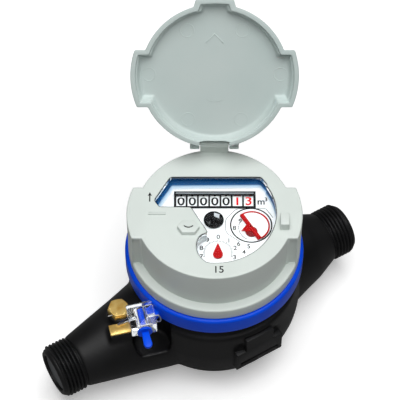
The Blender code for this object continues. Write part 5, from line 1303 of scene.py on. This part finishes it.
# Studio
# The meter stands on a flat floor, white to the camera and grey to the light that reaches the meter,
# under a large overhead softbox with weak fill. The camera looks down on it from the front, with
# the register upright in the frame.
floor_mesh = bmesh.new()
bmesh.ops.create_grid(floor_mesh, x_segments=1, y_segments=1, size=3.0)
floor = new_piece("floor", floor_mesh)
floor.location = (0, 0, -0.0002)


def in_view(tree, fade):
    """1 for what the camera sees, and through a clear piece 1 less a share for each diffuse bounce."""
    rays = tree.nodes.new("ShaderNodeLightPath").outputs
    entries = (rays["Diffuse Depth"], -fade, rays["Is Transmission Ray"])
    through = math_node(tree, "MULTIPLY_ADD", *entries, clamp=True)
    return math_node(tree, "MAXIMUM", rays["Is Camera Ray"], through)


FLOOR_GREY, FLOOR_GLOW, ROOM_LIGHT = 0.3, 0.3, 0.13
floor_paper = new_finish("floor paper", (1, 1, 1), 1.0, specular=0.0)
paper_tree = floor_paper.node_tree
paper_shader = paper_tree.nodes["Principled BSDF"]
paper_seen = in_view(paper_tree, 1.0)
paper_colour = mix_node(paper_tree, paper_seen, (FLOOR_GREY, FLOOR_GREY, FLOOR_GREY, 1), (1, 1, 1, 1))
paper_glow = math_node(paper_tree, "MULTIPLY", paper_seen, FLOOR_GLOW)
paper_shader.inputs["Emission Color"].default_value = (1, 1, 1, 1)
paper_tree.links.new(paper_colour, paper_shader.inputs["Base Color"])
paper_tree.links.new(paper_glow, paper_shader.inputs["Emission Strength"])
floor.data.materials.append(floor_paper)

world = bpy.data.worlds.new("studio")
bpy.context.scene.world = world
world.use_nodes = True
room = world.node_tree.nodes["Background"]
room.inputs["Color"].default_value = (1, 1, 1, 1)
room_level = mix_node(world.node_tree, in_view(world.node_tree, 0.2), ROOM_LIGHT, 1.0, "FLOAT")
world.node_tree.links.new(room_level, room.inputs["Strength"])
AIM = Vector((0, 0, 0.06))


def softbox(name, size, energy, place):
    """A square soft light at a place in metres, aimed at the meter."""
    light = bpy.data.lights.new(name, "AREA")
    light.shape = "SQUARE"
    light.size = size
    light.energy = energy
    lamp = bpy.data.objects.new(name, light)
    bpy.context.scene.collection.objects.link(lamp)
    lamp.location = place
    lamp.rotation_euler = (AIM - Vector(place)).to_track_quat("-Z", "Y").to_euler()


softbox("overhead softbox", 0.9, 11.5, (0.0, -0.1, 1.1))
softbox("front fill", 0.6, 0.5, (-0.7, -0.9, 0.5))

camera = bpy.data.cameras.new("camera")
camera.sensor_width = 36.0
camera.lens = 144.1
camera.shift_x = -0.0105
camera.shift_y = 0.026
camera.clip_start = 0.01
view = bpy.data.objects.new("camera", camera)
bpy.context.scene.collection.objects.link(view)
view.location = (-0.2211, -0.3588, 0.6878)
view.rotation_euler = (math.radians(35.34), 0, REGISTER_TURN)
bpy.context.scene.camera = view
bpy.context.scene.view_settings.view_transform = "Standard"
